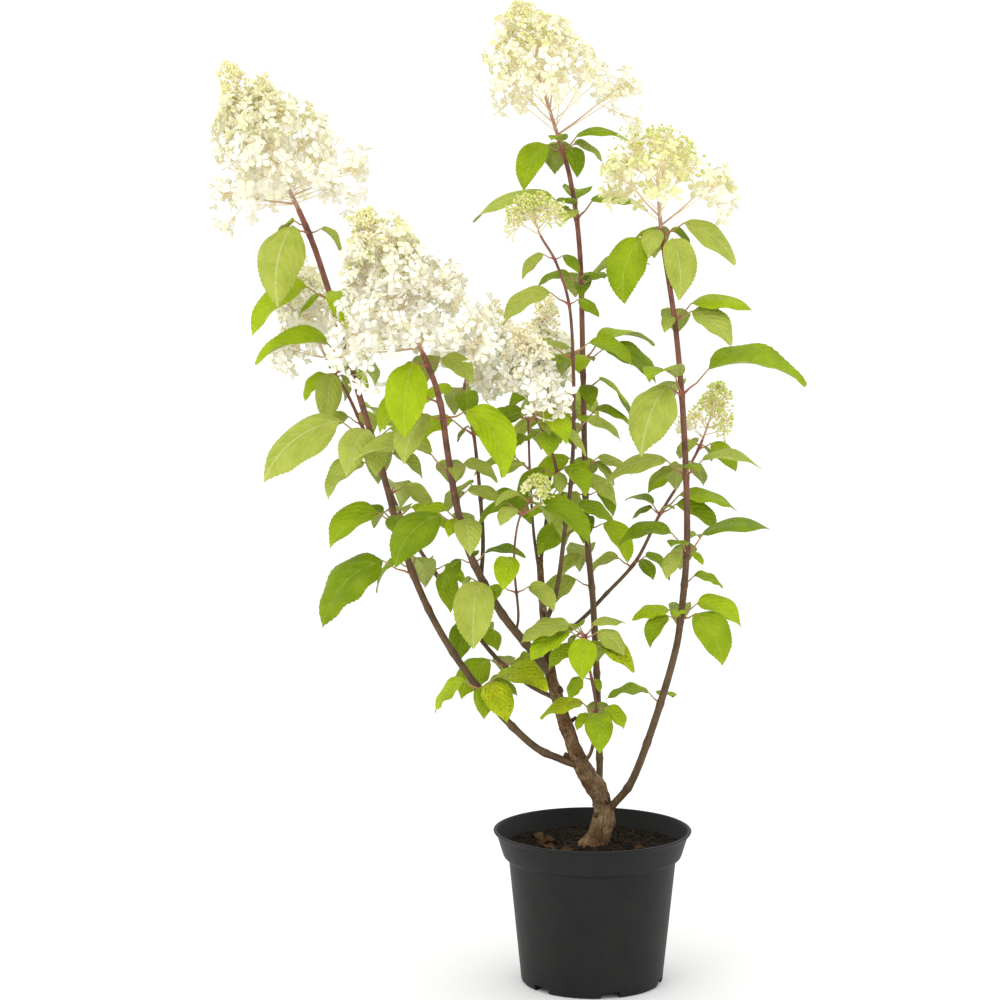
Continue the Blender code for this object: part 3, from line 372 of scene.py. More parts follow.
            Leaf(0.342, 335, 0.066, -0.15), Leaf(0.344, 165, 0.056, 0.6), Leaf(0.346, 305, 0.062, 0.55),
        ),
        None,
    ),
)


class LeafTint(IntEnum):
    """The base colours of leaves, in the order of a leafy piece's materials. Deep green is a shaded copy
    of the leaf's green, which is painted shade, and pale green a lit copy, which is painted light.
    """

    BRIGHT = 0
    FULL = 1
    DEEP = 2
    PALE = 3
    YELLOWING = 4


class PetalTint(IntEnum):
    """The base colours of florets and buds, in the order in which a panicle ripens."""

    WHITE = 0
    CREAM = 1
    LEMON = 2
    LIME = 3


class Model(Enum):
    """The small models that are set out in their hundreds."""

    FLORET = "floret"
    BUD = "bud"
    CHIP = "bark chip"


UNDERSIDE_SLOT = len(LeafTint)


def linear(colour: str) -> tuple[float, float, float, float]:
    """Turns an sRGB hex colour such as #94AC13 into linear values.

    Args:
        colour: the hex value, with its leading mark.

    Returns:
        Red, green, blue and a full alpha.
    """
    channels = [int(colour[start : start + 2], 16) / 255 for start in (1, 3, 5)]
    red, green, blue = (
        value / 12.92 if value <= 0.04045 else ((value + 0.055) / 1.055) ** 2.4
        for value in channels
    )
    return red, green, blue, 1.0


def set_up(node: bpy.types.Node, settings: dict, links: dict) -> None:
    """Sets a node's values and links.

    Args:
        node: the node.
        settings: values by property name, or by an input's name or number.
        links: other nodes, or their outputs, by the name or number of the input that each feeds.
            A node feeds its first output in use.
    """
    for key, value in settings.items():
        if isinstance(key, str) and hasattr(node, key):
            setattr(node, key, value)
        else:
            node.inputs[key].default_value = value
    for key, source in links.items():
        if isinstance(source, bpy.types.Node):
            source = next(output for output in source.outputs if output.enabled)
        node.id_data.links.new(source, node.inputs[key])


def add_node(
    tree: bpy.types.NodeTree, kind: str, settings: dict | None = None, links: dict | None = None
) -> bpy.types.Node:
    """Adds a node.

    Args:
        tree: the material's or the modifier's tree.
        kind: the node's type.
        settings: its values, as set_up takes them.
        links: its links, as set_up takes them.

    Returns:
        The new node.
    """
    node = tree.nodes.new(kind)
    set_up(node, settings or {}, links or {})
    return node


# Kinds of node that come up often
MATH = "ShaderNodeMath"
MIX = "ShaderNodeMix"
RANGE = "ShaderNodeMapRange"
NOISE = "ShaderNodeTexNoise"
# The numbers of a colour Mix node's two colours
MIX_A = 6
MIX_B = 7


def blend(second: str, first: str | None = None) -> dict:
    """Settings of a Mix node for two hex colours. The first is linked where it isn't given."""
    return {"data_type": "RGBA", MIX_A: linear(first or second), MIX_B: linear(second)}


def ramp(start: float, end: float, low: float = 0.0, high: float = 1.0, kind: str = "LINEAR") -> dict:
    """Settings of a Map Range node that turns start into low and end into high."""
    return {"interpolation_type": kind, 1: start, 2: end, 3: low, 4: high}


class Skin(NamedTuple):
    """What a surface draws: its colour, its relief's height, strength and depth, and its gloss."""

    colour: bpy.types.Node
    height: bpy.types.Node
    strength: float
    depth: float
    specular: float


@dataclass(frozen=True)
class Finish:
    """A surface: its name, its main colour and how rough it is."""

    name: str
    colour: str
    roughness: float

    def make(self) -> bpy.types.Material:
        """The material, made once.

        Returns:
            The material.
        """
        made = bpy.data.materials.get(self.name)
        if made is None:
            made = bpy.data.materials.new(self.name)
            made.use_nodes = True
            add = partial(add_node, made.node_tree)
            skin = self.skin(add)
            relief = {"Strength": skin.strength, "Distance": skin.depth}
            bump = add("ShaderNodeBump", relief, {"Height": skin.height})
            gloss = {"Roughness": self.roughness, "Specular IOR Level": skin.specular}
            shader = made.node_tree.nodes["Principled BSDF"]
            set_up(shader, gloss, {"Base Color": skin.colour, "Normal": bump})
        return made

    def skin(self, add: Callable) -> Skin:
        """Draws the surface's own pattern. Each kind of surface does it in its own way.

        Args:
            add: adds a node to the material's tree.

        Returns:
            What is drawn.
        """
        raise NotImplementedError


@dataclass(frozen=True)
class LeafFinish(Finish):
    """A living leaf's skin: quilted between its side veins, with a fine net of small veins."""

    vein: str
    shade: str
    speck_share: float = 0.0
    vein_rise: float = -1.0
    vein_strength: float = 0.36

    # Side veins along a blade, how steeply they leave the midrib and how they bend to the tip
    VEINS = 6.5
    SLANT = 0.85
    BEND = 2.6
    WANDER = 0.12
    # The net of small veins is 1 mm wide on a real leaf, and is drawn at 1.8 mm so that it shows
    NET_ACROSS_BLADE = 52.0
    QUILT_HEIGHT = 0.0008
    # Patches of shade are about 25 mm across, and the specks of a yellowing leaf 3 mm
    PATCH_SCALE = 38.0
    SPECK_SCALE = 330.0
    SPECKS = "#4C3A16"

    def skin(self, add: Callable) -> Skin:
        """Draws veins from the blade's own map, and clouds the colour.

        Args:
            add: adds a node to the material's tree.

        Returns:
            What is drawn.
        """
        spot = add("ShaderNodeUVMap", {"uv_map": BLADE_MAP})
        split = add("ShaderNodeSeparateXYZ", links={0: spot})
        offset = add(MATH, {"operation": "SUBTRACT", 1: 0.5}, {0: split})
        away = add(MATH, {"operation": "ABSOLUTE"}, {0: offset})
        curved = add(MATH, {"operation": "MULTIPLY_ADD", 1: self.BEND, 2: self.SLANT}, {0: away})
        rise = add(MATH, {"operation": "MULTIPLY"}, {0: curved, 1: away})
        wander = add(NOISE, {"Scale": 7.0, "Detail": 1.0}, {"Vector": spot})
        bent = {"operation": "MULTIPLY_ADD", 1: self.WANDER}
        start = add(MATH, bent, {0: wander, 2: split.outputs[1]})
        climb = add(MATH, {"operation": "SUBTRACT"}, {0: start, 1: rise})
        counted = add(MATH, {"operation": "MULTIPLY", 1: self.VEINS}, {0: climb})
        between = add(MATH, {"operation": "PINGPONG", 1: 0.5}, {0: counted})
        side_vein = add(RANGE, ramp(0.010, 0.070, 1.0, 0.0, "SMOOTHSTEP"), {0: between})
        midrib = add(RANGE, ramp(0.004, 0.017, 1.0, 0.0, "SMOOTHSTEP"), {0: away})
        veins = add(MATH, {"operation": "MAXIMUM"}, {0: side_vein, 1: midrib})
        meshes = {"feature": "DISTANCE_TO_EDGE", "Scale": self.NET_ACROSS_BLADE}
        net = add("ShaderNodeTexVoronoi", meshes, {"Vector": spot})
        place = add("ShaderNodeTexCoord").outputs["Object"]
        cloudy = {"Scale": self.PATCH_SCALE, "Detail": 3.0, "Roughness": 0.6}
        clouded = add(RANGE, ramp(0.35, 0.68), {0: add(NOISE, cloudy, {"Vector": place})})
        green = add(MIX, blend(self.shade, self.colour), {0: clouded})
        strength = add(MATH, {"operation": "MULTIPLY", 1: self.vein_strength}, {0: veins})
        colour = add(MIX, blend(self.vein), {0: strength, MIX_A: green})
        if self.speck_share:
            spots = add(NOISE, {"Scale": self.SPECK_SCALE, "Detail": 2.0}, {"Vector": place})
            fewer = ramp(0.72 - self.speck_share, 0.80 - self.speck_share, 0.0, 0.75)
            colour = add(MIX, blend(self.SPECKS), {0: add(RANGE, fewer, {0: spots}), MIX_A: colour})
        netted = add(RANGE, ramp(0.0, 0.12, 0.0, 0.16), {0: net})
        domed = add(RANGE, ramp(0.0, 0.42, 0.0, 1.0, "SMOOTHSTEP"), {0: between})
        carved = add(MATH, {"operation": "MULTIPLY_ADD", 1: self.vein_rise * 0.5}, {0: veins, 2: domed})
        height = add(MATH, {"operation": "ADD"}, {0: carved, 1: netted})
        return Skin(colour, height, strength=0.75, depth=self.QUILT_HEIGHT, specular=0.12)


@dataclass(frozen=True)
class CaneFinish(Finish):
    """A cane's thin bark: brown and finely furrowed low down, smooth and wine-red where it is young."""

    young: str
    dark: str
    dark_share: float = 0.6

    # Furrows are 0.7 mm apart on a real cane, and are drawn at 1.6 mm so that they show
    FURROW_SCALE = 620.0
    FURROW_STRETCH = 0.09
    # Dark blotches are about 15 mm long
    BLOTCH_SCALE = 60.0
    FURROW_HEIGHT = 0.0003

    def skin(self, add: Callable) -> Skin:
        """Mixes the two colours by the bark's age, and draws long furrows and dark blotches.

        Args:
            add: adds a node to the material's tree.

        Returns:
            What is drawn.
        """
        age = add("ShaderNodeAttribute", {"attribute_name": AGE})
        bark = add(MIX, blend(self.young, self.colour), {0: age.outputs["Fac"]})
        place = add("ShaderNodeTexCoord").outputs["Object"]
        longer = {"Scale": (1.0, 1.0, self.FURROW_STRETCH)}
        stretched = add("ShaderNodeMapping", longer, {"Vector": place})
        fine = {"Scale": self.FURROW_SCALE, "Detail": 4.0, "Roughness": 0.65}
        furrows = add(NOISE, fine, {"Vector": stretched})
        blotches = add(NOISE, {"Scale": self.BLOTCH_SCALE, "Detail": 3.0}, {"Vector": place})
        joined = add(MATH, {"operation": "MULTIPLY"}, {0: furrows, 1: blotches})
        shaded = add(RANGE, ramp(0.17, 0.29, self.dark_share, 0.0), {0: joined})
        colour = add(MIX, blend(self.dark), {0: shaded, MIX_A: bark})
        return Skin(colour, furrows, strength=0.6, depth=self.FURROW_HEIGHT, specular=0.5)


@dataclass(frozen=True)
class MottledFinish(Finish):
    """A surface of two clouded colours with a fine relief, such as compost, plastic or petals."""

    second: str
    cloud_scale: float
    grain_scale: float
    grain_height: float
    specular: float

    # How quickly the clouds pass from one colour to the other
    SHARPNESS = 0.18

    def skin(self, add: Callable) -> Skin:
        """Clouds one colour with the other, and raises a grain.

        Args:
            add: adds a node to the material's tree.

        Returns:
            What is drawn.
        """
        place = add("ShaderNodeTexCoord").outputs["Object"]
        cloudy = {"Scale": self.cloud_scale, "Detail": 5.0, "Roughness": 0.62}
        clouds = add(NOISE, cloudy, {"Vector": place})
        mixed = add(RANGE, ramp(0.5 - self.SHARPNESS, 0.5 + self.SHARPNESS), {0: clouds})
        colour = add(MIX, blend(self.second, self.colour), {0: mixed})
        grainy = {"Scale": self.grain_scale, "Detail": 4.0, "Roughness": 0.6}
        grain = add(NOISE, grainy, {"Vector": place})
        return Skin(colour, grain, strength=0.7, depth=self.grain_height, specular=self.specular)


@dataclass(frozen=True)
class BarkFinish(Finish):
    """Old bark: long weathered plates, parted by dark cracks."""

    weathered: str
    crack: str

    # Plates are about 3 mm wide and four times as long on a real trunk
    PLATE_SCALE = 300.0
    PLATE_STRETCH = 0.25
    # Flakes are about 4 mm, the plates' waves 14 mm and grey patches of lichen 22 mm across
    FLAKE_SCALE = 260.0
    WAVE_SCALE = 70.0
    LICHEN_SCALE = 45.0
    WARP = 0.020
    CRACK_DEPTH = 0.0012

    def skin(self, add: Callable) -> Skin:
        """Draws plates along the wood, with a dark, sunken crack round each.

        Args:
            add: adds a node to the material's tree.

        Returns:
            What is drawn.
        """
        place = add("ShaderNodeTexCoord").outputs["Object"]
        waves = add(NOISE, {"Scale": self.WAVE_SCALE, "Detail": 3.0}, {"Vector": place})
        warping = {"operation": "MULTIPLY_ADD", 1: (self.WARP, self.WARP, self.WARP)}
        warped = add("ShaderNodeVectorMath", warping, {0: waves.outputs["Color"], 2: place})
        longer = {"Scale": (1.0, 1.0, self.PLATE_STRETCH)}
        stretched = add("ShaderNodeMapping", longer, {"Vector": warped})
        edged = {"feature": "DISTANCE_TO_EDGE", "Scale": self.PLATE_SCALE}
        plates = add("ShaderNodeTexVoronoi", edged, {"Vector": stretched})
        flaky = {"Scale": self.FLAKE_SCALE, "Detail": 5.0, "Roughness": 0.75}
        flakes = add(NOISE, flaky, {"Vector": stretched})
        lichen = add(NOISE, {"Scale": self.LICHEN_SCALE, "Detail": 4.0}, {"Vector": place})
        faded = add(RANGE, ramp(0.42, 0.62), {0: lichen})
        bark = add(MIX, blend(self.weathered, self.colour), {0: faded})
        cracked = add(RANGE, ramp(0.0, 0.12, 0.5, 0.0), {0: plates})
        pitted = add(RANGE, ramp(0.38, 0.50, 0.72, 0.0), {0: flakes})
        darkest = add(MATH, {"operation": "MAXIMUM"}, {0: cracked, 1: pitted})
        colour = add(MIX, blend(self.crack), {0: darkest, MIX_A: bark})
        raised = add(MATH, {"operation": "SUBTRACT"}, {0: flakes, 1: darkest})
        return Skin(colour, raised, strength=0.8, depth=self.CRACK_DEPTH, specular=0.2)


# A living leaf's upper skin: soft green with paler sunken veins and a low satin gloss
BLADES = {
    LeafTint.BRIGHT: LeafFinish("leaf bright green", "#AEC618", 0.55, "#C6D45A", "#98B20E"),
    LeafTint.FULL: LeafFinish("leaf mid green", "#9CB418", 0.55, "#BACA58", "#849E10"),
    # Deep green is a darker copy of mid green: painted shade
    LeafTint.DEEP: LeafFinish("leaf deep green", "#869E12", 0.52, "#A8B84E", "#6E880A"),
    # Pale green is a lighter copy of mid green: painted light, on leaves high up and out at the sides
    LeafTint.PALE: LeafFinish(
        "leaf pale green", "#B6C250", 0.60, "#D8DC9A", "#A2B040", vein_strength=0.5
    ),
    LeafTint.YELLOWING: LeafFinish(
        "leaf yellowing", "#BCC81A", 0.55, "#D2D044", "#9CB010", speck_share=0.12
    ),
}
# Its lower skin is paler and matt, and its veins stand out of it
UNDERSIDE = LeafFinish(
    "leaf underside", "#ABB75C", 0.70, "#C8CF8C", "#97A54A", vein_rise=1.0, vein_strength=0.5
)
# A dry leaf is brown and crumpled, with veins a little darker
DRY_LEAF = LeafFinish("dry leaf", "#4E3826", 0.85, "#37261A", "#5F4A30", vein_rise=1.0)
# A petiole is smooth and fleshy, green flushed with red
PETIOLE = CaneFinish("leaf stalk", "#B0AC5C", 0.55, "#AE6258", "#A4824E", 0.3)
# The bark of a cane in its first year: brown at its foot, wine-red above
CANE_BARK = CaneFinish("one year old bark", "#644C2A", 0.60, "#9A5C4E", "#302012")
# Old bark is red-brown where it is fresh and grey where it has weathered
OLD_BARK = BarkFinish("old bark", "#78593C", 0.90, "#A08664", "#2E2014")
# A snag's dead wood is nearly black
SNAG_WOOD = BarkFinish("dead snag", "#4C3625", 0.92, "#6B5440", "#1F150E")
# Nursery pots are moulded polypropylene: charcoal, faintly grained, with a dull satin sheen
POT_PLASTIC = MottledFinish(
    "moulded polypropylene", "#171717", 0.55, "#201F1E", 26.0, 1500.0, 0.00008, 0.22
)
# Composted bark and peat, moist and nearly black
COMPOST = MottledFinish("moist bark compost", "#140F09", 0.95, "#241B12", 120.0, 500.0, 0.0016, 0.2)
CHIPS = MottledFinish("compost crumbs", "#16110B", 0.92, "#302518", 90.0, 600.0, 0.0006, 0.2)
# Tepals are thin, dry and matt, and turn from lime to cream to white as they open
tepal_finish = partial(
    MottledFinish, cloud_scale=90.0, grain_scale=500.0, grain_height=0.0001, specular=0.1
)
PETALS = {
    PetalTint.WHITE: tepal_finish("floret white", "#FCF9EA", 0.75, "#FCFAEE"),
    PetalTint.CREAM: tepal_finish("floret cream", "#FCF8DA", 0.75, "#FCF9E4"),
    PetalTint.LEMON: tepal_finish("floret lemon", "#F8F6C8", 0.75, "#F9F7D6"),
    PetalTint.LIME: tepal_finish("floret lime", "#F0F0A8", 0.72, "#F3F2BA"),
}
# Flower buds are smooth beads
bud_finish = partial(tepal_finish, cloud_scale=200.0, grain_scale=900.0)
BUDS = {
    PetalTint.WHITE: bud_finish("bud cream", "#F9F1CE", 0.65, "#F6E8C0"),
    PetalTint.CREAM: bud_finish("bud straw", "#F9F4CE", 0.65, "#F6EBBC"),
    PetalTint.LEMON: bud_finish("bud lemon", "#F4F3B8", 0.65, "#EAEBA0"),
    PetalTint.LIME: bud_finish("bud lime", "#DFE386", 0.65, "#CBD66C"),
}
# Flower stalks are straw where the panicle parts, and wine-red at its foot
FLOWER_STALK = CaneFinish("flower stalk", "#F4EBC2", 0.65, "#A0605E", "#E6BC94", 0.4)
# The ground is a pale, matt sheet that shows nothing but the shadows
PALE_FLOOR = MottledFinish("pale floor", "#FBFBFA", 0.95, "#FAFAF9", 2.0, 40.0, 0.0001, 0.0)


@dataclass
class Shape:
    """Points and faces that become one mesh, with a material number for each face."""

    points: list = field(default_factory=list)
    faces: list = field(default_factory=list)
    slots: list = field(default_factory=list)
    spots: list = field(default_factory=list)

    def add(self, points: Sequence, faces: Sequence, slot: int = 0, spots: Sequence = ()) -> None:
        """Adds a body.

        Args:
            points: its points.
            faces: its faces, by the numbers of its own points.
            slot: its material's number.
            spots: its places on the blade map, one for each point.
        """
        first = len(self.points)
        self.points += [tuple(point) for point in points]
        self.faces += [tuple(first + corner for corner in face) for face in faces]
        self.slots += [slot] * len(faces)
        self.spots += spots or [(0.5, 0.5)] * len(points)

    def mesh(self, name: str, finishes: Sequence[Finish], sharp_deg: float = 60.0) -> bpy.types.Mesh:
        """The smooth mesh, with its materials and its blade map.

        Args:
            name: the mesh's name.
            finishes: its surfaces, in the order of the material numbers.
            sharp_deg: an edge that turns by more than this stays sharp.

        Returns:
            The mesh.
        """
        mesh = bpy.data.meshes.new(name)
        mesh.from_pydata(self.points, [], self.faces)
        mesh.polygons.foreach_set("material_index", self.slots)
        corners = np.zeros(len(mesh.loops), dtype=np.int32)
        mesh.loops.foreach_get("vertex_index", corners)
        layer = mesh.uv_layers.new(name=BLADE_MAP)
        layer.data.foreach_set("uv", np.array(self.spots, dtype=np.float32)[corners].ravel())
        for finish in finishes:
            mesh.materials.append(finish.make())
        mesh.update()
        mesh.shade_smooth()
        mesh.set_sharp_from_angle(angle=math.radians(sharp_deg))
        return mesh


def face_outwards(mesh: bpy.types.Mesh) -> None:
    """Turns every face of a closed mesh outwards.

    Args:
        mesh: the mesh.
    """
    work = bmesh.new()
    work.from_mesh(mesh)
    bmesh.ops.recalc_face_normals(work, faces=work.faces)
    work.to_mesh(mesh)
    work.free()


def new_object(name: str, data: bpy.types.ID) -> bpy.types.Object:
    """A new object in the scene.

    Args:
        name: its name.
        data: its mesh, light or camera.

    Returns:
        The object.
    """
    made = bpy.data.objects.new(name, data)
    bpy.context.scene.collection.objects.link(made)
    return made


def add_piece(name: str, mesh: bpy.types.Mesh, nodes: Sequence[str] = ()) -> None:
    """Links a finished mesh as a piece that rides on the plant, and reports it.

    Args:
        name: the piece's name.
        mesh: its mesh, already in its place.
        nodes: the solids that it stands for.
    """
    mesh.name = name
    piece = new_object(name, mesh)
    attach(piece, BODY)
    if nodes:
        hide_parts(*nodes)
    triangles = sum(len(face.vertices) - 2 for face in mesh.polygons)
    LOG.info("%s: %d triangles", name, triangles)


def new_tree(name: str, inputs: dict[str, str]) -> bpy.types.NodeTree:
    """A Geometry Nodes tree that turns a geometry into another by its named inputs.

    Args:
        name: the tree's name.
        inputs: the kind of each input, by its name.

    Returns:
        The tree, with its sockets alone.
    """
    tree = bpy.data.node_groups.new(name, "GeometryNodeTree")
    for label, kind in {"Geometry": "Geometry", **inputs}.items():
        tree.interface.new_socket(label, in_out="INPUT", socket_type="NodeSocket" + kind)
    tree.interface.new_socket("Geometry", in_out="OUTPUT", socket_type="NodeSocketGeometry")
    return tree


def end_tree(add: Callable, parts: bpy.types.Node, given: Sequence) -> bpy.types.NodeTree:
    """Makes a tree's parts real, and gives them its one finish.

    Args:
        add: adds a node to the tree.
        parts: the node that gives the parts.
        given: the tree's inputs.

    Returns:
        The tree.
    """
    whole = add("GeometryNodeRealizeInstances", links={0: parts})
    dressing = {"Geometry": whole, "Material": given["Finish"]}
    return add("NodeGroupOutput", links={0: add("GeometryNodeSetMaterial", links=dressing)}).id_data


@dataclass
class Lines:
    """Thin round limbs that are swept along their paths by Geometry Nodes."""

    points: list = field(default_factory=list)
    edges: list = field(default_factory=list)
    radii: list = field(default_factory=list)
    ages: list = field(default_factory=list)

    RADIUS = "thickness"

    def add(self, path: Sequence, radii: Sequence[float], ages: Sequence[float] = ()) -> None:
        """Adds one limb.

        Args:
            path: the points that it follows.
            radii: its radius at each point.
            ages: how young its bark is at each point, from 0 to 1. Left out, it is 0.
        """
        first = len(self.points)
        self.points += [tuple(point) for point in path]
        self.edges += [(first + step, first + step + 1) for step in range(len(path) - 1)]
        self.radii += radii
        self.ages += ages or [0.0] * len(path)

    def tree(self) -> bpy.types.NodeTree:
        """The sweep's tree: it makes a capped tube along every path.

        Returns:
            The tree.
        """
        tree = bpy.data.node_groups.get("sweep limbs")
        if tree:
            return tree
        tree = new_tree("sweep limbs", {"Sides": "Int", "Finish": "Material"})
        add = partial(add_node, tree)
        given = add("NodeGroupInput").outputs
        path = add("GeometryNodeMeshToCurve", links={0: given["Geometry"]})
        radius = add("GeometryNodeInputNamedAttribute", {"data_type": "FLOAT", "Name": self.RADIUS})
        ring = add("GeometryNodeCurvePrimitiveCircle", {"Radius": 1.0}, {"Resolution": given["Sides"]})
        along = {"Curve": path, "Profile Curve": ring, "Scale": radius}
        swept = add("GeometryNodeCurveToMesh", {"Fill Caps": True}, along)
        return end_tree(add, swept, given)

    def mesh(self, name: str, sides: int, finish: Finish) -> bpy.types.Mesh:
        """The swept tubes as one plain mesh.

        Args:
            name: the mesh's name.
            sides: the number of sides of each tube.
            finish: its surface.

        Returns:
            The mesh.
        """
        wires = bpy.data.meshes.new(name + " paths")
        wires.from_pydata(self.points, self.edges, [])
        for attribute, values in ((self.RADIUS, self.radii), (AGE, self.ages)):
            layer = wires.attributes.new(attribute, "FLOAT", "POINT")
            layer.data.foreach_set("value", values)
        settings = {"Sides": sides, "Finish": finish.make()}
        mesh = run_tree(wires, self.tree(), settings)
        mesh.shade_smooth()
        mesh.set_sharp_from_angle(angle=math.radians(50))
        return mesh


def run_tree(base: bpy.types.Mesh, tree: bpy.types.NodeTree, settings: dict) -> bpy.types.Mesh:
    """Runs a Geometry Nodes tree on a mesh.

    Args:
        base: the mesh that the tree starts from. It is used up.
        tree: the tree.
        settings: its inputs by name. Each is set by its identifier.

    Returns:
        The result as a plain mesh.
    """
    carrier = new_object(base.name, base)
    modifier = carrier.modifiers.new(tree.name, "NODES")
    modifier.node_group = tree
    for socket in tree.interface.items_tree:
        if socket.in_out == "INPUT" and socket.name in settings:
            modifier[socket.identifier] = settings[socket.name]
    graph = bpy.context.evaluated_depsgraph_get()
    result = bpy.data.meshes.new_from_object(carrier.evaluated_get(graph))
    bpy.data.objects.remove(carrier)
    bpy.data.meshes.remove(base)
    return result


@dataclass
class Places:
    """Where small models stand: how each is turned and sized, which model it is and its tint."""

    points: list = field(default_factory=list)
    turns: list = field(default_factory=list)
    sizes: list = field(default_factory=list)
    kinds: list = field(default_factory=list)
    tints: list = field(default_factory=list)

    def add(self, place: Vector, facing: Vector, spin: float, size: float, kind: int, tint: int) -> None:
        """Adds a place.

        Args:
            place: where the model's middle is.
            facing: the direction of its upper side.
            spin: its turn about that direction.
            size: its radius.
            kind: the model's number.
            tint: its tint's number.
        """
        turned = facing.to_track_quat("Z", "Y") @ Euler((0, 0, spin)).to_quaternion()
        self.points.append(tuple(place))
        self.turns += turned.to_euler()[:]
        self.sizes.append(size)
        self.kinds.append(kind)
        self.tints.append(int(tint))

    def tree(self, tints: int) -> bpy.types.NodeTree:
        """The setting-out tree: it puts a model on every point and gives each tint its finish.

        Args:
            tints: how many tints there are.

        Returns:
            The tree.
        """
        tree = bpy.data.node_groups.get("set out models")
        if tree:
            return tree
        finishes = {f"Finish {tint}": "Material" for tint in range(tints)}
        tree = new_tree("set out models", {"Models": "Collection", **finishes})
        add = partial(add_node, tree)
        given = add("NodeGroupInput").outputs
        parted = {"Separate Children": True, "Reset Children": True}
        models = add("GeometryNodeCollectionInfo", parted, {"Collection": given["Models"]})
        kinds = {"turn": "FLOAT_VECTOR", "size": "FLOAT", "kind": "INT", "tint": "INT"}
        read = {
            name: add("GeometryNodeInputNamedAttribute", {"data_type": kind, "Name": name})
            for name, kind in kinds.items()
        }
        turn = add("FunctionNodeEulerToRotation", links={0: read["turn"]})
        which = {"Points": given["Geometry"], "Instance": models, "Instance Index": read["kind"]}
        how = {"Rotation": turn, "Scale": read["size"]}
        placed = add("GeometryNodeInstanceOnPoints", {"Pick Instance": True}, which | how)
        dressed = add("GeometryNodeRealizeInstances", links={0: placed})
        for tint in range(tints):
            same = {"data_type": "INT", "operation": "EQUAL", 3: tint}
            chosen = add("FunctionNodeCompare", same, {2: read["tint"]})
            links = {"Geometry": dressed, "Selection": chosen, "Material": given[f"Finish {tint}"]}
            dressed = add("GeometryNodeSetMaterial", links=links)
        add("NodeGroupOutput", links={0: dressed})
        return tree

    def mesh(self, name: str, models: bpy.types.Collection, finishes: Sequence[Finish]) -> bpy.types.Mesh:
        """The models, set out and joined into one plain mesh.

        Args:
            name: the mesh's name.
            models: the collection of models, which are numbered in the order of their names.
            finishes: the tints' surfaces.

        Returns:
            The mesh.
        """
        dots = bpy.data.meshes.new(name + " points")
        dots.from_pydata(self.points, [], [])
        for label, kind, field_name, values in (
            ("turn", "FLOAT_VECTOR", "vector", self.turns), ("size", "FLOAT", "value", self.sizes),
            ("kind", "INT", "value", self.kinds), ("tint", "INT", "value", self.tints),
        ):
            layer = dots.attributes.new(label, kind, "POINT")
            layer.data.foreach_set(field_name, values)
        settings = {f"Finish {tint}": finish.make() for tint, finish in enumerate(finishes)}
        return run_tree(dots, self.tree(len(finishes)), {"Models": models, **settings})


@dataclass
class FloretModels:
    """Open florets of four tepals, each a thin closed shell of twelve faces.

    A model's radius is 1, and it faces up.
    """

    widths: tuple = (0.37, 0.33, 0.40)
    cups: tuple = (0.16, 0.42, -0.14)
    # A tepal's two cross-sections: how far out each is, and its shares of the width and the cup
    sections: tuple = ((0.40, 0.84, 0.30), (0.74, 0.80, 0.66))
    foot: float = 0.05
    edge_rise: float = 0.05
    edge_cup: float = 0.2
    half_thickness: float = 0.018
    # How much the tepals of a floret differ
    turn_spread_deg: float = 7
    cup_spread: float = 0.08
    width_draws: tuple = (0.9, 1.12)
    length_draws: tuple = (0.86, 1.0)

    def tepal(self, shape: Shape, turn: float, width: float, cup: float, length: float) -> None:
        """Adds one tepal.

        Args:
            shape: the floret.
            turn: the tepal's bearing.
            width: its half width.
            cup: how far its tip stands up.
            length: its length.
        """
        ahead = Vector((math.cos(turn), math.sin(turn), 0))
        side = Vector((-ahead.y, ahead.x, 0))
        points = [ahead * self.foot]
        edge = Vector((0, 0, self.edge_rise + cup * self.edge_cup))
        rise = Vector((0, 0, self.half_thickness))
        for reach, spread, lift in self.sections:
            middle = ahead * reach * length + Vector((0, 0, cup * lift))
            points.append(middle + side * width * spread + edge)
            points.append(middle + rise)
            points.append(middle - side * width * spread + edge)
            points.append(middle - rise)
        points.append(ahead * length + Vector((0, 0, cup)))
        faces = []
        for corner in range(4):
            following = (corner + 1) % 4
            faces.append((0, 1 + following, 1 + corner))
            faces.append((1 + corner, 1 + following, 5 + following, 5 + corner))
            faces.append((5 + corner, 5 + following, 9))
        shape.add(points, faces)

    def make(self) -> bpy.types.Collection:
        """The collection of florets, each with tepals of slightly different sizes.

        Returns:
            The collection.
        """
        models = bpy.data.collections.new("floret models")
        draw = random.Random(f"{SEED} florets")
        for number, (width, cup) in enumerate(zip(self.widths, self.cups)):
            shape = Shape()
            for tepal in range(4):
                spread = draw.uniform(-self.turn_spread_deg, self.turn_spread_deg)
                turn = math.radians(90 * tepal + spread)
                own_width = width * draw.uniform(*self.width_draws)
                own_cup = cup + draw.uniform(-self.cup_spread, self.cup_spread)
                self.tepal(shape, turn, own_width, own_cup, draw.uniform(*self.length_draws))
            mesh = shape.mesh(f"{Model.FLORET.value} {number}", ())
            face_outwards(mesh)
            models.objects.link(bpy.data.objects.new(mesh.name, mesh))
        return models


@dataclass
class BeadModels:
    """Small round bodies of twenty faces, smooth as buds or rough as bark chips."""

    kind: Model
    roughness: float
    flatness: float

    COUNT = 3

    def make(self) -> bpy.types.Collection:
        """The collection of beads.

        Returns:
            The collection.
        """
        models = bpy.data.collections.new(f"{self.kind.value} models")
        for number in range(self.COUNT):
            work = bmesh.new()
            bmesh.ops.create_icosphere(work, subdivisions=1, radius=1.0)
            for vertex in work.verts:
                swell = noise.noise(vertex.co * 1.7 + Vector((number * 9.1, 0, 0)))
                vertex.co *= 1 + self.roughness * swell
                vertex.co.z *= self.flatness
            mesh = bpy.data.meshes.new(f"{self.kind.value} {number}")
            work.to_mesh(mesh)
            work.free()
            if self.kind is Model.BUD:
                mesh.shade_smooth()
            models.objects.link(bpy.data.objects.new(mesh.name, mesh))
        return models


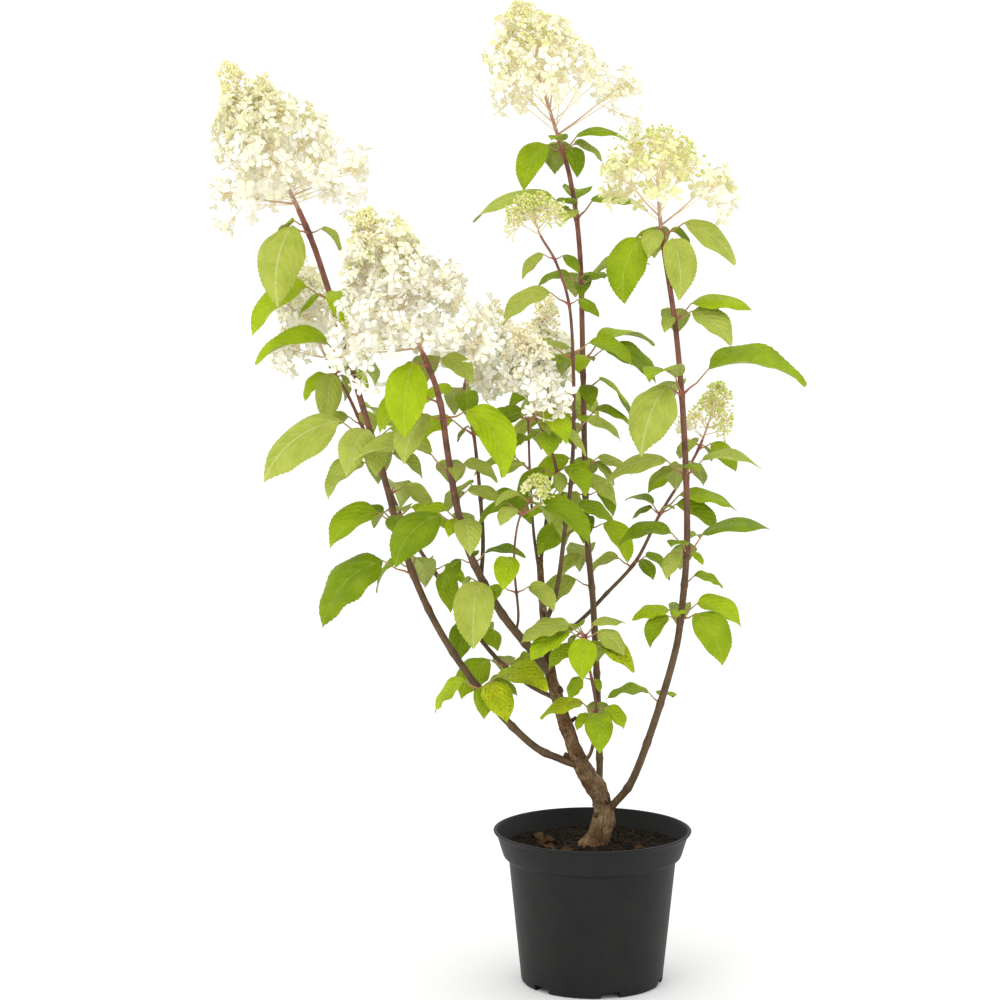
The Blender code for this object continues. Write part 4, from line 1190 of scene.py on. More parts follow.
class Curve:
    """A smooth line through a limb's waypoints, read by the distance along it."""

    STEPS = 12

    def __init__(self, points: Sequence) -> None:
        """Draws the line.

        Args:
            points: the waypoints.
        """
        points = [Vector(point) for point in points]
        ghosts = [2 * points[0] - points[1], *points, 2 * points[-1] - points[-2]]
        self.points = [points[0]]
        for before, start, end, after in zip(ghosts, ghosts[1:], ghosts[2:], ghosts[3:]):
            for step in range(1, self.STEPS + 1):
                t = step / self.STEPS
                bend = 2 * before - 5 * start + 4 * end - after
                swing = 3 * start - before - 3 * end + after
                self.points.append(0.5 * (2 * start + (end - before) * t + bend * t**2 + swing * t**3))
        self.distances = [0.0]
        for start, end in zip(self.points, self.points[1:]):
            self.distances.append(self.distances[-1] + (end - start).length)
        self.length = self.distances[-1]
        self.axes = [[point[axis] for point in self.points] for axis in range(3)]

    def at(self, distance: float) -> Vector:
        """The place at a distance along the line."""
        return Vector(np.interp(distance, self.distances, axis) for axis in self.axes)

    def direction(self, distance: float) -> Vector:
        """The line's direction there.

        Args:
            distance: how far along the line.

        Returns:
            The direction.
        """
        step = 0.004
        low = max(0.0, distance - step)
        return (self.at(min(self.length, distance + step)) - self.at(low)).normalized()

    def at_height(self, height: float) -> float:
        """The first distance at which the line is that high.

        Args:
            height: the height.

        Returns:
            The distance, or the line's length where it stays lower.
        """
        for distance, point in zip(self.distances, self.points):
            if point.z >= height:
                return distance
        return self.length


def across(direction: Vector) -> tuple[Vector, Vector]:
    """Two directions square to a limb and to each other.

    Args:
        direction: the limb's direction.

    Returns:
        Its sideways and its upward direction.
    """
    side = direction.cross(Vector((0, 1, 0)))
    if side.length < 0.2:
        side = direction.cross(Vector((1, 0, 0)))
    side.normalize()
    return side, side.cross(direction).normalized()


def at_turn(side: Vector, up: Vector, turn: float) -> Vector:
    """The direction that a turn away from one direction towards another gives."""
    return side * math.cos(turn) + up * math.sin(turn)


def clamped(value: float) -> float:
    """A value kept between 0 and 1."""
    return min(1.0, max(0.0, value))


def band(low: Sequence[int], high: Sequence[int]) -> list[tuple]:
    """The faces between two rings of points.

    Args:
        low: the numbers of the first ring's points.
        high: those of the second, or of a single tip.

    Returns:
        The faces.
    """
    faces = []
    for corner in range(len(low)):
        following = (corner + 1) % len(low)
        above = (high[following], high[corner]) if len(high) > 1 else (high[0],)
        faces.append((low[corner], low[following], *above))
    return faces


def tube(
    curve: Curve, start: float, end: float, radius_at: Callable[[float, float], float], sides: int,
    spacing: float,
) -> tuple[list, list]:
    """A closed tube along a stretch of a curve.

    Args:
        curve: the line that it follows.
        start: where it starts along the line.
        end: where it ends.
        radius_at: its radius by distance and angle.
        sides: its number of sides.
        spacing: the distance between its rings.

    Returns:
        Its points and faces.
    """
    inner = [spacing * step for step in range(math.ceil(curve.length / spacing) + 1)]
    inner = [place for place in inner if start + spacing / 5 < place < end - spacing / 5]
    points, faces = [], []
    for distance in (start, *inner, end):
        side, up = across(curve.direction(distance))
        centre = curve.at(distance)
        for corner in range(sides):
            angle = math.tau * corner / sides
            points.append(centre + at_turn(side, up, angle) * radius_at(distance, angle))
    rings = [range(first, first + sides) for first in range(0, len(points), sides)]
    for low, high in zip(rings, rings[1:]):
        faces += band(low, high)
    return points, [*faces, tuple(reversed(rings[0])), tuple(rings[-1])]


class Limb:
    """A cane's curve, its taper, and its solid at a chosen clearance."""

    SIDES = CANE_SIDES
    SPACING = RING_SPACING

    def __init__(self, cane: Cane) -> None:
        """Draws the cane's curve, with its panicle's stalk at the end.

        Args:
            cane: the cane's sizes.
        """
        self.cane = cane
        tip = [cane.bloom.tip] if cane.bloom else []
        self.curve = Curve([*cane.path, *tip])
        self.stem_end = Curve(cane.path).length if tip else self.curve.length
        self.joints = [self.curve.at_height(leaf.height) for leaf in cane.leaves]

    def radius(self, distance: float, angle: float = 0.0) -> float:
        """The limb's radius: it tapers along the stem, and faster inside the panicle.

        Args:
            distance: how far along the limb.
            angle: how far round it. Only old wood needs it.

        Returns:
            The radius.
        """
        share = min(1.0, distance / self.stem_end)
        radius = self.cane.foot_radius + (self.cane.tip_radius - self.cane.foot_radius) * share
        if distance > self.stem_end:
            beyond = (distance - self.stem_end) / (self.curve.length - self.stem_end)
            radius *= 1 - 0.6 * beyond
        return radius

    def stretch(self, start: float, end: float, clearance: float = 0.0) -> tuple:
        """The solid's points and faces between two distances.

        Args:
            start: where it starts along the limb.
            end: where it ends.
            clearance: how much thicker it is than the limb.

        Returns:
            The points and the faces.
        """
        return tube(
            self.curve, start, end, lambda distance, angle: self.radius(distance, angle) + clearance,
            self.SIDES, self.SPACING,
        )


class Trunk(Limb):
    """The old wood, knotted and flared at its foot."""

    SIDES = TRUNK_SIDES
    SPACING = 0.013
    TAPER = 1.15
    FLARE = 0.55
    FLARE_REACH = 0.030
    FLARE_SIDE = 2.2
    KNOTS = (0.085, 0.118, 0.170, 0.232)
    KNOT_SWELLING = 0.26
    KNOT_REACH = 0.011

    def radius(self, distance: float, angle: float = 0.0) -> float:
        """The trunk's radius: its taper, its flare, fuller on one side, and its knots.

        Args:
            distance: how far along the trunk.
            angle: how far round it.

        Returns:
            The radius.
        """
        share = min(1.0, distance / self.stem_end)
        slender = self.cane.tip_radius / self.cane.foot_radius
        radius = self.cane.foot_radius * (slender + (1 - slender) * (1 - share) ** self.TAPER)
        flare = self.FLARE * math.exp(-distance / self.FLARE_REACH)
        radius *= 1 + flare * (1 + 0.4 * math.cos(angle - self.FLARE_SIDE))
        for knot in self.KNOTS:
            swelling = self.KNOT_SWELLING * math.exp(-(((distance - knot) / self.KNOT_REACH) ** 2))
            radius *= 1 + swelling * (0.6 + 0.4 * math.cos(angle * 2 + knot * 90))
        return radius


class Room:
    """What is already taken up, so that a leaf or floret stands where the solids have it."""

    def __init__(self) -> None:
        """Starts empty."""
        self.taken: list[tuple[str, BVHTree]] = []

    def take(self, owner: str, points: Sequence, faces: Sequence) -> None:
        """Marks a shape's space as its owner's."""
        self.taken.append((owner, BVHTree.FromPolygons([tuple(point) for point in points], faces)))

    def is_free(self, points: Sequence, faces: Sequence, but_for: tuple = ()) -> bool:
        """Whether a shape touches nothing, leaving out what some owners have taken."""
        tree = BVHTree.FromPolygons([tuple(point) for point in points], faces)
        return not any(owner not in but_for and tree.overlap(other) for owner, other in self.taken)


class Pose(NamedTuple):
    """How one leaf stands: its foot, bearing, length, hang and lift."""

    root: Vector
    bearing: float
    length: float
    hang: float
    lift: float


def leaf_midrib(pose: Pose) -> list[tuple[Vector, Vector, Vector]]:
    """Places, upward and sideways directions along a blade's midrib.

    Args:
        pose: how the leaf stands. A leaf to the left or the right has its upper face turned
            forward.

    Returns:
        One entry for each step, from the blade's foot to its tip.
    """
    heading = Vector((math.cos(pose.bearing), math.sin(pose.bearing), 0))
    level_side = Vector((-heading.y, heading.x, 0))
    roll = math.radians(BLADE_ROLL_DEG) * heading.x * clamped(0.55 + pose.hang)
    petiole_lift = math.radians(PETIOLE_LIFT_DEG + pose.lift - HANG_DEG * pose.hang / 2)
    blade_lift = math.radians(BLADE_LIFT_DEG + pose.lift - HANG_DEG * pose.hang)

    def along(elevation: float) -> Vector:
        """The direction at an elevation."""
        return heading * math.cos(elevation) + Vector((0, 0, math.sin(elevation)))

    def square(elevation: float, turn: float) -> tuple[Vector, Vector]:
        """The upward and sideways directions there.

        Args:
            elevation: how steeply the blade rises.
            turn: how far it is rolled.

        Returns:
            The two directions.
        """
        above = Vector((0, 0, math.cos(elevation))) - heading * math.sin(elevation)
        up = above * math.cos(turn) - level_side * math.sin(turn)
        return up, at_turn(level_side, above, turn)

    place = pose.root + along(petiole_lift) * pose.length * PETIOLE_SHARE
    line = [(place, *square(blade_lift, roll / 2))]
    for step in range(1, BLADE_STEPS + 1):
        share = step / BLADE_STEPS
        elevation = blade_lift - math.radians(DROOP_DEG) * (share - 0.5 / BLADE_STEPS)
        place = place + along(elevation) * (pose.length / BLADE_STEPS)
        line.append((place, *square(elevation, roll)))
    return line


def loft(sections: Sequence) -> tuple[list, list]:
    """Points and faces of a closed solid through four-cornered sections; the last may be one point.

    Args:
        sections: the corners of each section.

    Returns:
        The points and the faces.
    """
    points, faces, rings = [], [], []
    for section in sections:
        rings.append(range(len(points), len(points) + len(section)))
        points += section
    for low, high in zip(rings, rings[1:]):
        faces += band(low, high)
    for ring in (rings[0], rings[-1]):
        if len(ring) == 4:
            faces.append(tuple(ring))
    return points, faces


def leaf_sections(pose: Pose, room: float) -> list:
    """The sections of a leaf's solid, grown by a clearance: two of its petiole, then its blade's.

    Args:
        pose: how the leaf stands.
        room: the clearance.

    Returns:
        The corners of each section.
    """
    line = leaf_midrib(pose)
    fold = math.radians(BLADE_FOLD_DEG)

    def section(place: Vector, up: Vector, side: Vector, wide: float, high: float, rise: float) -> list:
        """Left, top, right and bottom of the leaf at one place."""
        left, right = side * wide + up * rise, -side * wide + up * rise
        return [place + left, place + up * high, place + right, place - up * high]

    stalk = PETIOLE_RADIUS + room
    sections = [
        section(pose.root, *line[0][1:], stalk, stalk, 0.0), section(*line[0], stalk, stalk * 0.8, 0.0)
    ]
    for index, width in BLADE_ROWS:
        place, up, side = line[index]
        half_width = (BLADE_WIDTH * pose.length / 2 + room) * width
        half_height = BLADE_THICKNESS * pose.length / 2 + room
        half_width, rise = half_width * math.cos(fold), half_width * math.sin(fold)
        sections.append(section(place, up, side, half_width, half_height, rise))
    sections.append([line[-1][0]])
    return sections


class FlowerBranch(NamedTuple):
    """A branch of a panicle, which parts into five heads of florets."""

    centre: Vector
    parting: Vector
    axis: Vector
    stalk_radius: float
    depth: float
    radius: float
    share: float

    # How thick the stalk is where it parts and at its hub, and how far apart these are
    PARTING_RADIUS = 0.0016
    HUB_RADIUS = 0.0020
    HUB_RISE = 0.003

    def heads(self) -> tuple[Vector, list[Vector]]:
        """The hub that the heads grow from, and their directions.

        Returns:
            The hub and the directions.
        """
        side, up = across(self.axis)
        directions = [self.axis]
        for corner in range(4):
            sideways = at_turn(side, up, math.radians(90 + 90 * corner))
            directions.append(at_turn(self.axis, sideways, FLORET_TILT))
        return self.parting + self.axis * self.HUB_RISE, directions

    def solid(self) -> tuple[list, list]:
        """Points and faces of the branch's solid: a stalk and five four-cornered funnels.

        Returns:
            The points and the faces.
        """
        side, up = across(self.axis)

        def ring(centre: Vector, radius: float) -> list[Vector]:
            """Four corners round the branch."""
            turns = [math.radians(45 + 90 * corner) for corner in range(4)]
            return [centre + at_turn(side, up, turn) * radius for turn in turns]

        hub, directions = self.heads()
        points = [*ring(self.centre, self.stalk_radius), *ring(self.parting, self.PARTING_RADIUS)]
        points += ring(hub, self.HUB_RADIUS)
        faces = [(3, 2, 1, 0), *band(range(4), range(4, 8))]
        roots = [(8, 9, 10, 11), *band(range(4, 8), range(8, 12))]
        for root, outward in zip(roots, directions):
            across_root = points[root[1]] - points[root[0]]
            across_root = (across_root - outward * across_root.dot(outward)).normalized()
            along_root = outward.cross(across_root)
            if along_root.dot(points[root[2]] - points[root[1]]) < 0:
                along_root = -along_root
            head = len(points)
            for first, second in ((-1, -1), (1, -1), (1, 1), (-1, 1)):
                corner = (across_root * first + along_root * second) * self.radius / math.sqrt(2)
                points.append(hub + outward * self.depth + corner)
            faces += [*band(root, range(head, head + 4)), tuple(range(head, head + 4))]
        return points, faces


class Head(NamedTuple):
    """A small dome of florets or buds: where its pedicels start, its middle and its half width."""

    foot: Vector
    middle: Vector
    spread: float

    def outward(self) -> Vector:
        """The direction in which the dome faces."""
        return (self.middle - self.foot).normalized()


@dataclass
class Panicle:
    """A cone of florets and buds on a parted stalk."""

    limb: Limb
    floret_radius: float = 0.0126
    bud_radius: float = 0.0018
    eye_radius: float = 0.0011
    pedicel_radius: float = 0.00032
    stalk_sides: int = 5
    stalk_steps: int = 10
    # How far down in the cane the stalk starts
    stalk_sunk: float = 0.002
    # The leaner tip starts at this share of the height
    tip_from: float = 0.56
    tip_to: float = 0.93
    tip_twigs: int = 11
    tip_head: float = 0.0062
    # The lean of its twigs from the stalk, what the share of the height adds to it, and their radii
    tip_lean_deg: float = 24
    tip_lean_more_deg: float = 36
    tip_stalk: tuple[float, float] = (0.0009, 0.0006)
    # Short branches for each main one, the shares of the height that they fill, and their radii
    fill_share: int = 5
    filled: tuple[float, float] = (0.03, 0.63)
    fill_stalk: tuple[float, float] = (0.0008, 0.0006)
    # A short branch is left out where a body of this radius round its head meets a leaf or cane
    probe_radius: float = 0.010
    probe_below: float = 0.012
    probe_above: float = 0.004
    # The buds in a small and in a full dome, and the half width over which a dome is full
    bud_counts: tuple[int, int] = (7, 10)
    full_dome: float = 0.006
    # The half width of the dome of buds at a branch's hub, and how far the branch's stalk sags
    hub_dome: float = 0.0065
    stalk_sag: float = 0.001
    # A floret's lowest and highest place in its head, how far its eye stands over it, how far its
    # pedicel bows, and how far under the floret that ends
    floret_depths: tuple[float, float] = (-0.008, 0.003)
    eye_rise: float = 0.0010
    pedicel_bow: float = 0.0015
    pedicel_short: float = 0.0008
    # How much smaller a floret is at the tip
    young_shrink: float = 0.45
    # A panicle that is white up to less than this is young, with smaller florets and later buds
    young_under: float = 0.20
    young_size: float = 0.92
    young_delay: float = 0.28
    # The share of florets that turn a tint later than the ones round them
    late_share: float = 0.30
    # Towards the tip, this share of a branch's heads is missing, so the stalk shows between tiers
    tip_gaps: float = 0.30
    facing_spread: float = 0.75
    # A panicle that ripens from below this share still has green buds
    green_under: float = 0.40
    branches: list[FlowerBranch] = field(default_factory=list)
    florets: Places = field(default_factory=Places)
    buds: Places = field(default_factory=Places)
    stalks: Lines = field(default_factory=Lines)

    def __post_init__(self) -> None:
        """Reads the cane's panicle, and starts the draws of its looks."""
        self.bloom = self.limb.cane.bloom
        self.draw = random.Random(f"{SEED} bloom {self.limb.cane.name}")

    def envelope(self, share: float) -> float:
        """The panicle's outer radius at a share of its height."""
        return self.bloom.radius * (1 - share) ** self.bloom.taper

    def axis(self, distance: float, share: float, turn: float, steeper_deg: float = 0.0) -> Vector:
        """The direction of a branch.

        Args:
            distance: how far along the limb it starts.
            share: how far up the panicle that is.
            turn: its bearing round the stalk.
            steeper_deg: how much more it rises than the others there.

        Returns:
            The direction.
        """
        stalk = self.limb.curve.direction(distance)
        direction = stalk.lerp(Vector((0, 0, 1)), self.bloom.upright).normalized()
        side, up = across(direction)
        lean = self.bloom.lean + (TOP_LEAN_DEG - self.bloom.lean) * share + steeper_deg
        return at_turn(at_turn(-side, up, turn), direction, math.radians(lean))

    def place(self, room: Room) -> None:
        """Works out the branches as the solids have them, and takes their room.

        Args:
            room: what is taken up so far.
        """
        limb, bloom = self.limb, self.bloom
        draw = random.Random(f"{SEED} {limb.cane.name}")
        base = limb.stem_end + GAP / 2
        length = limb.curve.length - base
        stalk_end = limb.curve.length - RACHIS_SHORT * length
        shapes = [tube(limb.curve, base, stalk_end, limb.radius, RACHIS_SIDES, length / 3)]
        turn = math.radians(bloom.turn)
        for number in range(bloom.branches):
            share = BRANCH_FROM + BRANCH_RANGE * (number / bloom.branches) ** BRANCH_SPACING
            distance = base + length * share
            centre = limb.curve.at(distance)
            axis = self.axis(distance, share, turn)
            turn += GOLDEN_ANGLE
            reach = self.envelope(share)
            for size in BRANCH_SIZES:
                parting = centre + axis * reach * PARTING * size
                depth = reach * (1 - PARTING) * size * draw.uniform(0.85, 1.0)
                radius = min(FLORET_RADIUS, depth * 0.66)
                stalk = limb.radius(distance) * 0.6
                branch = FlowerBranch(centre, parting, axis, stalk, depth, radius, share)
                shape = branch.solid()
                if room.is_free(*shape):
                    self.branches.append(branch)
                    shapes.append(shape)
                    break
        for shape in shapes:
            room.take(limb.cane.name + " panicle", *shape)

    def is_young(self) -> bool:
        """Whether the panicle is still opening: looser, with redder stalks and smaller florets."""
        return self.bloom.white_to < self.young_under

    def tint(self, ripeness: float) -> PetalTint:
        """The tint at a share of the panicle's height.

        Args:
            ripeness: the share.

        Returns:
            The tint.
        """
        if ripeness < self.bloom.white_to:
            return PetalTint.WHITE
        if ripeness < self.bloom.green_from:
            return PetalTint.CREAM
        greenest = PetalTint.LIME if self.bloom.green_from < self.green_under else PetalTint.LEMON
        return PetalTint.LEMON if ripeness < self.bloom.green_from + 0.18 else greenest

    def any_way(self) -> Vector:
        """A draw of how far a floret turns away from its head's direction."""
        return Vector([self.draw.uniform(-1, 1) for _ in range(3)]) * self.facing_spread

    def bud_head(self, head: Head, tint: int) -> None:
        """Adds a ragged dome of buds, each on its own pedicel.

        Args:
            head: the dome.
            tint: the buds' tint.
        """
        outward, spread, draw = head.outward(), head.spread, self.draw
        side, up = across(outward)
        fine = self.pedicel_radius * 0.8
        count = self.bud_counts[spread > self.full_dome]
        for number in range(count):
            turn = number * GOLDEN_ANGLE
            reach = spread * math.sqrt((number + 0.4) / count) * draw.uniform(0.8, 1.2)
            rise = spread * (0.55 * (1 - (reach / spread) ** 2) + draw.uniform(-0.3, 0.3))
            place = head.middle + at_turn(side, up, turn) * reach + outward * rise
            size = self.bud_radius * draw.uniform(0.6, 1.15)
            own_tint = tint if draw.random() < 0.75 else max(0, tint - 1)
            self.buds.add(place, outward, turn, size, number % 3, own_tint)
            self.stalks.add([head.foot, place], [fine * 1.2, fine])

    def floret_head(self, head: Head, ripe: float) -> None:
        """Adds a small head of five florets and a few buds, each on its own pedicel.

        Args:
            head: the head.
            ripe: how far up the panicle it is.
        """
        outward, spread, draw = head.outward(), head.spread, self.draw
        side, up = across(outward)
        fine = self.pedicel_radius
        size = self.floret_radius * min(1.0, spread / FLORET_RADIUS + 0.25)
        size *= 1 - self.young_shrink * clamped(ripe)
        size *= self.young_size if self.is_young() else 1.0
        first_turn = draw.uniform(0, math.tau)
        for number in range(5):
            # Four florets stand round the fifth
            lateral = at_turn(side, up, first_turn + number * math.tau / 4) * (number < 4)
            place = head.middle + lateral * spread * draw.uniform(0.45, 0.95)
            place += outward * draw.uniform(*self.floret_depths)
            facing = (outward * 0.8 + lateral * 0.6 + self.any_way()).normalized()
            tint = self.tint(ripe + draw.uniform(-0.12, 0.12))
            if draw.random() < self.late_share * (0.4 + ripe):
                tint = min(PetalTint.LIME, tint + 1)
            own_size = size * draw.uniform(0.72, 1.15)
            self.florets.add(place, facing, draw.uniform(0, math.tau), own_size, draw.randrange(3), tint)
            eye = min(PetalTint.LEMON, tint + 1)
            middle = place + facing * self.eye_rise
            self.buds.add(middle, facing, 0.0, self.eye_radius, number % 3, eye)
            bend = (head.foot + place) / 2 + outward * self.pedicel_bow
            end = place - facing * self.pedicel_short
            self.stalks.add([head.foot, bend, end], [fine * 1.3, fine, fine])
        tint = min(PetalTint.LEMON, self.tint(ripe) + 1)
        for number in range(3):
            turn = first_turn + number * GOLDEN_ANGLE
            place = head.middle + at_turn(side, up, turn) * spread * draw.uniform(0.2, 0.6)
            place += outward * draw.uniform(0, 0.004)
            self.buds.add(place, outward, turn, self.bud_radius * draw.uniform(0.6, 1.0), number, tint)
            self.stalks.add([head.foot, place], [fine, fine])

    def add_head(self, head: Head, ripe: float) -> None:
        """Adds a head, of buds or of florets by its ripeness.

        Args:
            head: the head.
            ripe: how far up the panicle it is.
        """
        draw, green_from = self.draw, self.bloom.green_from
        bud_from = green_from + (self.young_delay if green_from and self.is_young() else 0.0)
        if ripe < bud_from or (green_from and ripe < bud_from + 0.12 and draw.random() < 0.5):
            self.floret_head(head, ripe)
            return
        buds = head._replace(spread=head.spread * 0.85)
        self.bud_head(buds, self.tint(ripe + 0.1 * draw.random()))
        if green_from and draw.random() < 0.4:
            facing = (head.outward() + self.any_way()).normalized()
            low = head.middle - Vector((0, 0, head.spread * 0.9))
            size = self.floret_radius * (1 - self.young_shrink) * draw.uniform(1.0, 1.5)
            self.florets.add(low, facing, draw.uniform(0, 6), size, 1, self.tint(ripe))
            self.stalks.add([head.foot, low], [self.pedicel_radius] * 2)

    def add_branch(self, branch: FlowerBranch) -> None:
        """Adds one branch: its stalk, and its heads of florets or buds.

        Args:
            branch: the branch.
        """
        draw = self.draw
        hub, directions = branch.heads()
        thick = branch.stalk_radius * 0.62
        flush = max(0.0, 0.9 - branch.share * (1.2 if self.is_young() else 4.0))
        middle = (branch.centre + branch.parting) / 2 - Vector((0, 0, self.stalk_sag))
        path = [branch.centre, middle, branch.parting, hub]
        ages = [flush, flush * 0.7, flush * 0.3, 0.0]
        self.stalks.add(path, [thick * 1.25, thick, thick * 0.85, thick * 0.8], ages)
        for outward in directions:
            if branch.share > self.tip_from and draw.random() < self.tip_gaps:
                continue
            node = hub + outward * branch.depth * 0.5
            middle = hub + outward * branch.depth * draw.uniform(0.82, 1.02)
            self.stalks.add([hub, node], [thick * 0.62, thick * 0.45])
            ripe = branch.share + outward.z * 0.06 + draw.uniform(-0.08, 0.08)
            self.add_head(Head(node, middle, branch.radius), ripe)
        dome = Head(hub, hub + branch.axis * branch.depth * 0.55, self.hub_dome)
        self.bud_head(dome, PetalTint.CREAM)

    def fill(self, room: Room) -> None:
        """Adds short branches of one head each between the main ones, as close as on the real panicle.

        Args:
            room: what is taken up, so that no head stands in a leaf.
        """
        limb, bloom, draw = self.limb, self.bloom, self.draw
        length = limb.curve.length - limb.stem_end
        first, last = self.filled
        count = round(bloom.branches * self.fill_share * bloom.fullness)
        for number in range(count):
            share = first + (last - first) * ((number + 0.5) / count) ** 1.1
            distance = limb.stem_end + length * share
            centre = limb.curve.at(distance)
            turn = math.radians(bloom.turn) + number * GOLDEN_ANGLE
            axis = self.axis(distance, share, turn, draw.uniform(-8, 8))
            reach = self.envelope(share) * draw.uniform(0.42, 0.96)
            middle = centre + axis * reach
            line = Curve([middle - axis * self.probe_below, middle + axis * self.probe_above])
            probe = tube(line, 0, line.length, lambda *_: self.probe_radius, CANE_SIDES, line.length)
            if not room.is_free(*probe, but_for=(limb.cane.name + " panicle",)):
                continue
            node = centre + axis * reach * 0.7
            self.stalks.add([centre, node], self.fill_stalk)
            ripe = share + axis.z * 0.05 + draw.uniform(-0.06, 0.06)
            self.add_head(Head(node, middle, FLORET_RADIUS * draw.uniform(0.8, 1.0)), ripe)

    def add_tip(self) -> None:
        """Adds the short twigs of buds round the end of the stalk."""
        curve, base = self.limb.curve, self.limb.stem_end
        for number in range(self.tip_twigs):
            share = self.tip_from + (self.tip_to - self.tip_from) * number / (self.tip_twigs - 1)
            distance = base + (curve.length - base) * share
            direction = curve.direction(distance)
            outward = at_turn(*across(direction), number * GOLDEN_ANGLE)
            lean = math.radians(self.tip_lean_deg + self.tip_lean_more_deg * share)
            axis = at_turn(outward, direction, lean)
            reach = self.envelope(share) * self.draw.uniform(0.5, 1.05) + 0.003
            foot = curve.at(distance)
            node = foot + axis * reach * 0.6
            self.stalks.add([foot, node], self.tip_stalk)
            self.bud_head(Head(node, foot + axis * reach, self.tip_head), self.tint(share))

    def build(
        self, room: Room, floret_models: bpy.types.Collection, bud_models: bpy.types.Collection
    ) -> None:
        """Builds the panicle's three pieces: florets, buds and stalks.

        Args:
            room: what is taken up by the rest of the plant.
            floret_models: the florets to set out.
            bud_models: the buds to set out.
        """
        limb, name = self.limb, self.limb.cane.name
        start = limb.stem_end - self.stalk_sunk
        span = limb.curve.length - limb.stem_end + self.stalk_sunk
        shares = [step / self.stalk_steps for step in range(self.stalk_steps + 1)]
        reaches = [start + span * share for share in shares]
        fading = 1.0 if self.is_young() else 3.0
        ages = [max(0.0, 1 - fading * share) for share in shares]
        path = [limb.curve.at(reach) for reach in reaches]
        self.stalks.add(path, [limb.radius(reach) * 0.9 for reach in reaches], ages)
        for branch in self.branches:
            self.add_branch(branch)
        self.fill(room)
        self.add_tip()
        replaced = [f"{name}_panicle"]
        if self.florets.points:
            mesh = self.florets.mesh(f"{name}_florets", floret_models, list(PETALS.values()))
            add_piece(f"{name}_florets", mesh, replaced)
            replaced = []
        mesh = self.buds.mesh(f"{name}_buds", bud_models, list(BUDS.values()))
        add_piece(f"{name}_buds", mesh, replaced)
        mesh = self.stalks.mesh(f"{name}_flower_stalks", self.stalk_sides, FLOWER_STALK)
        add_piece(f"{name}_flower_stalks", mesh)


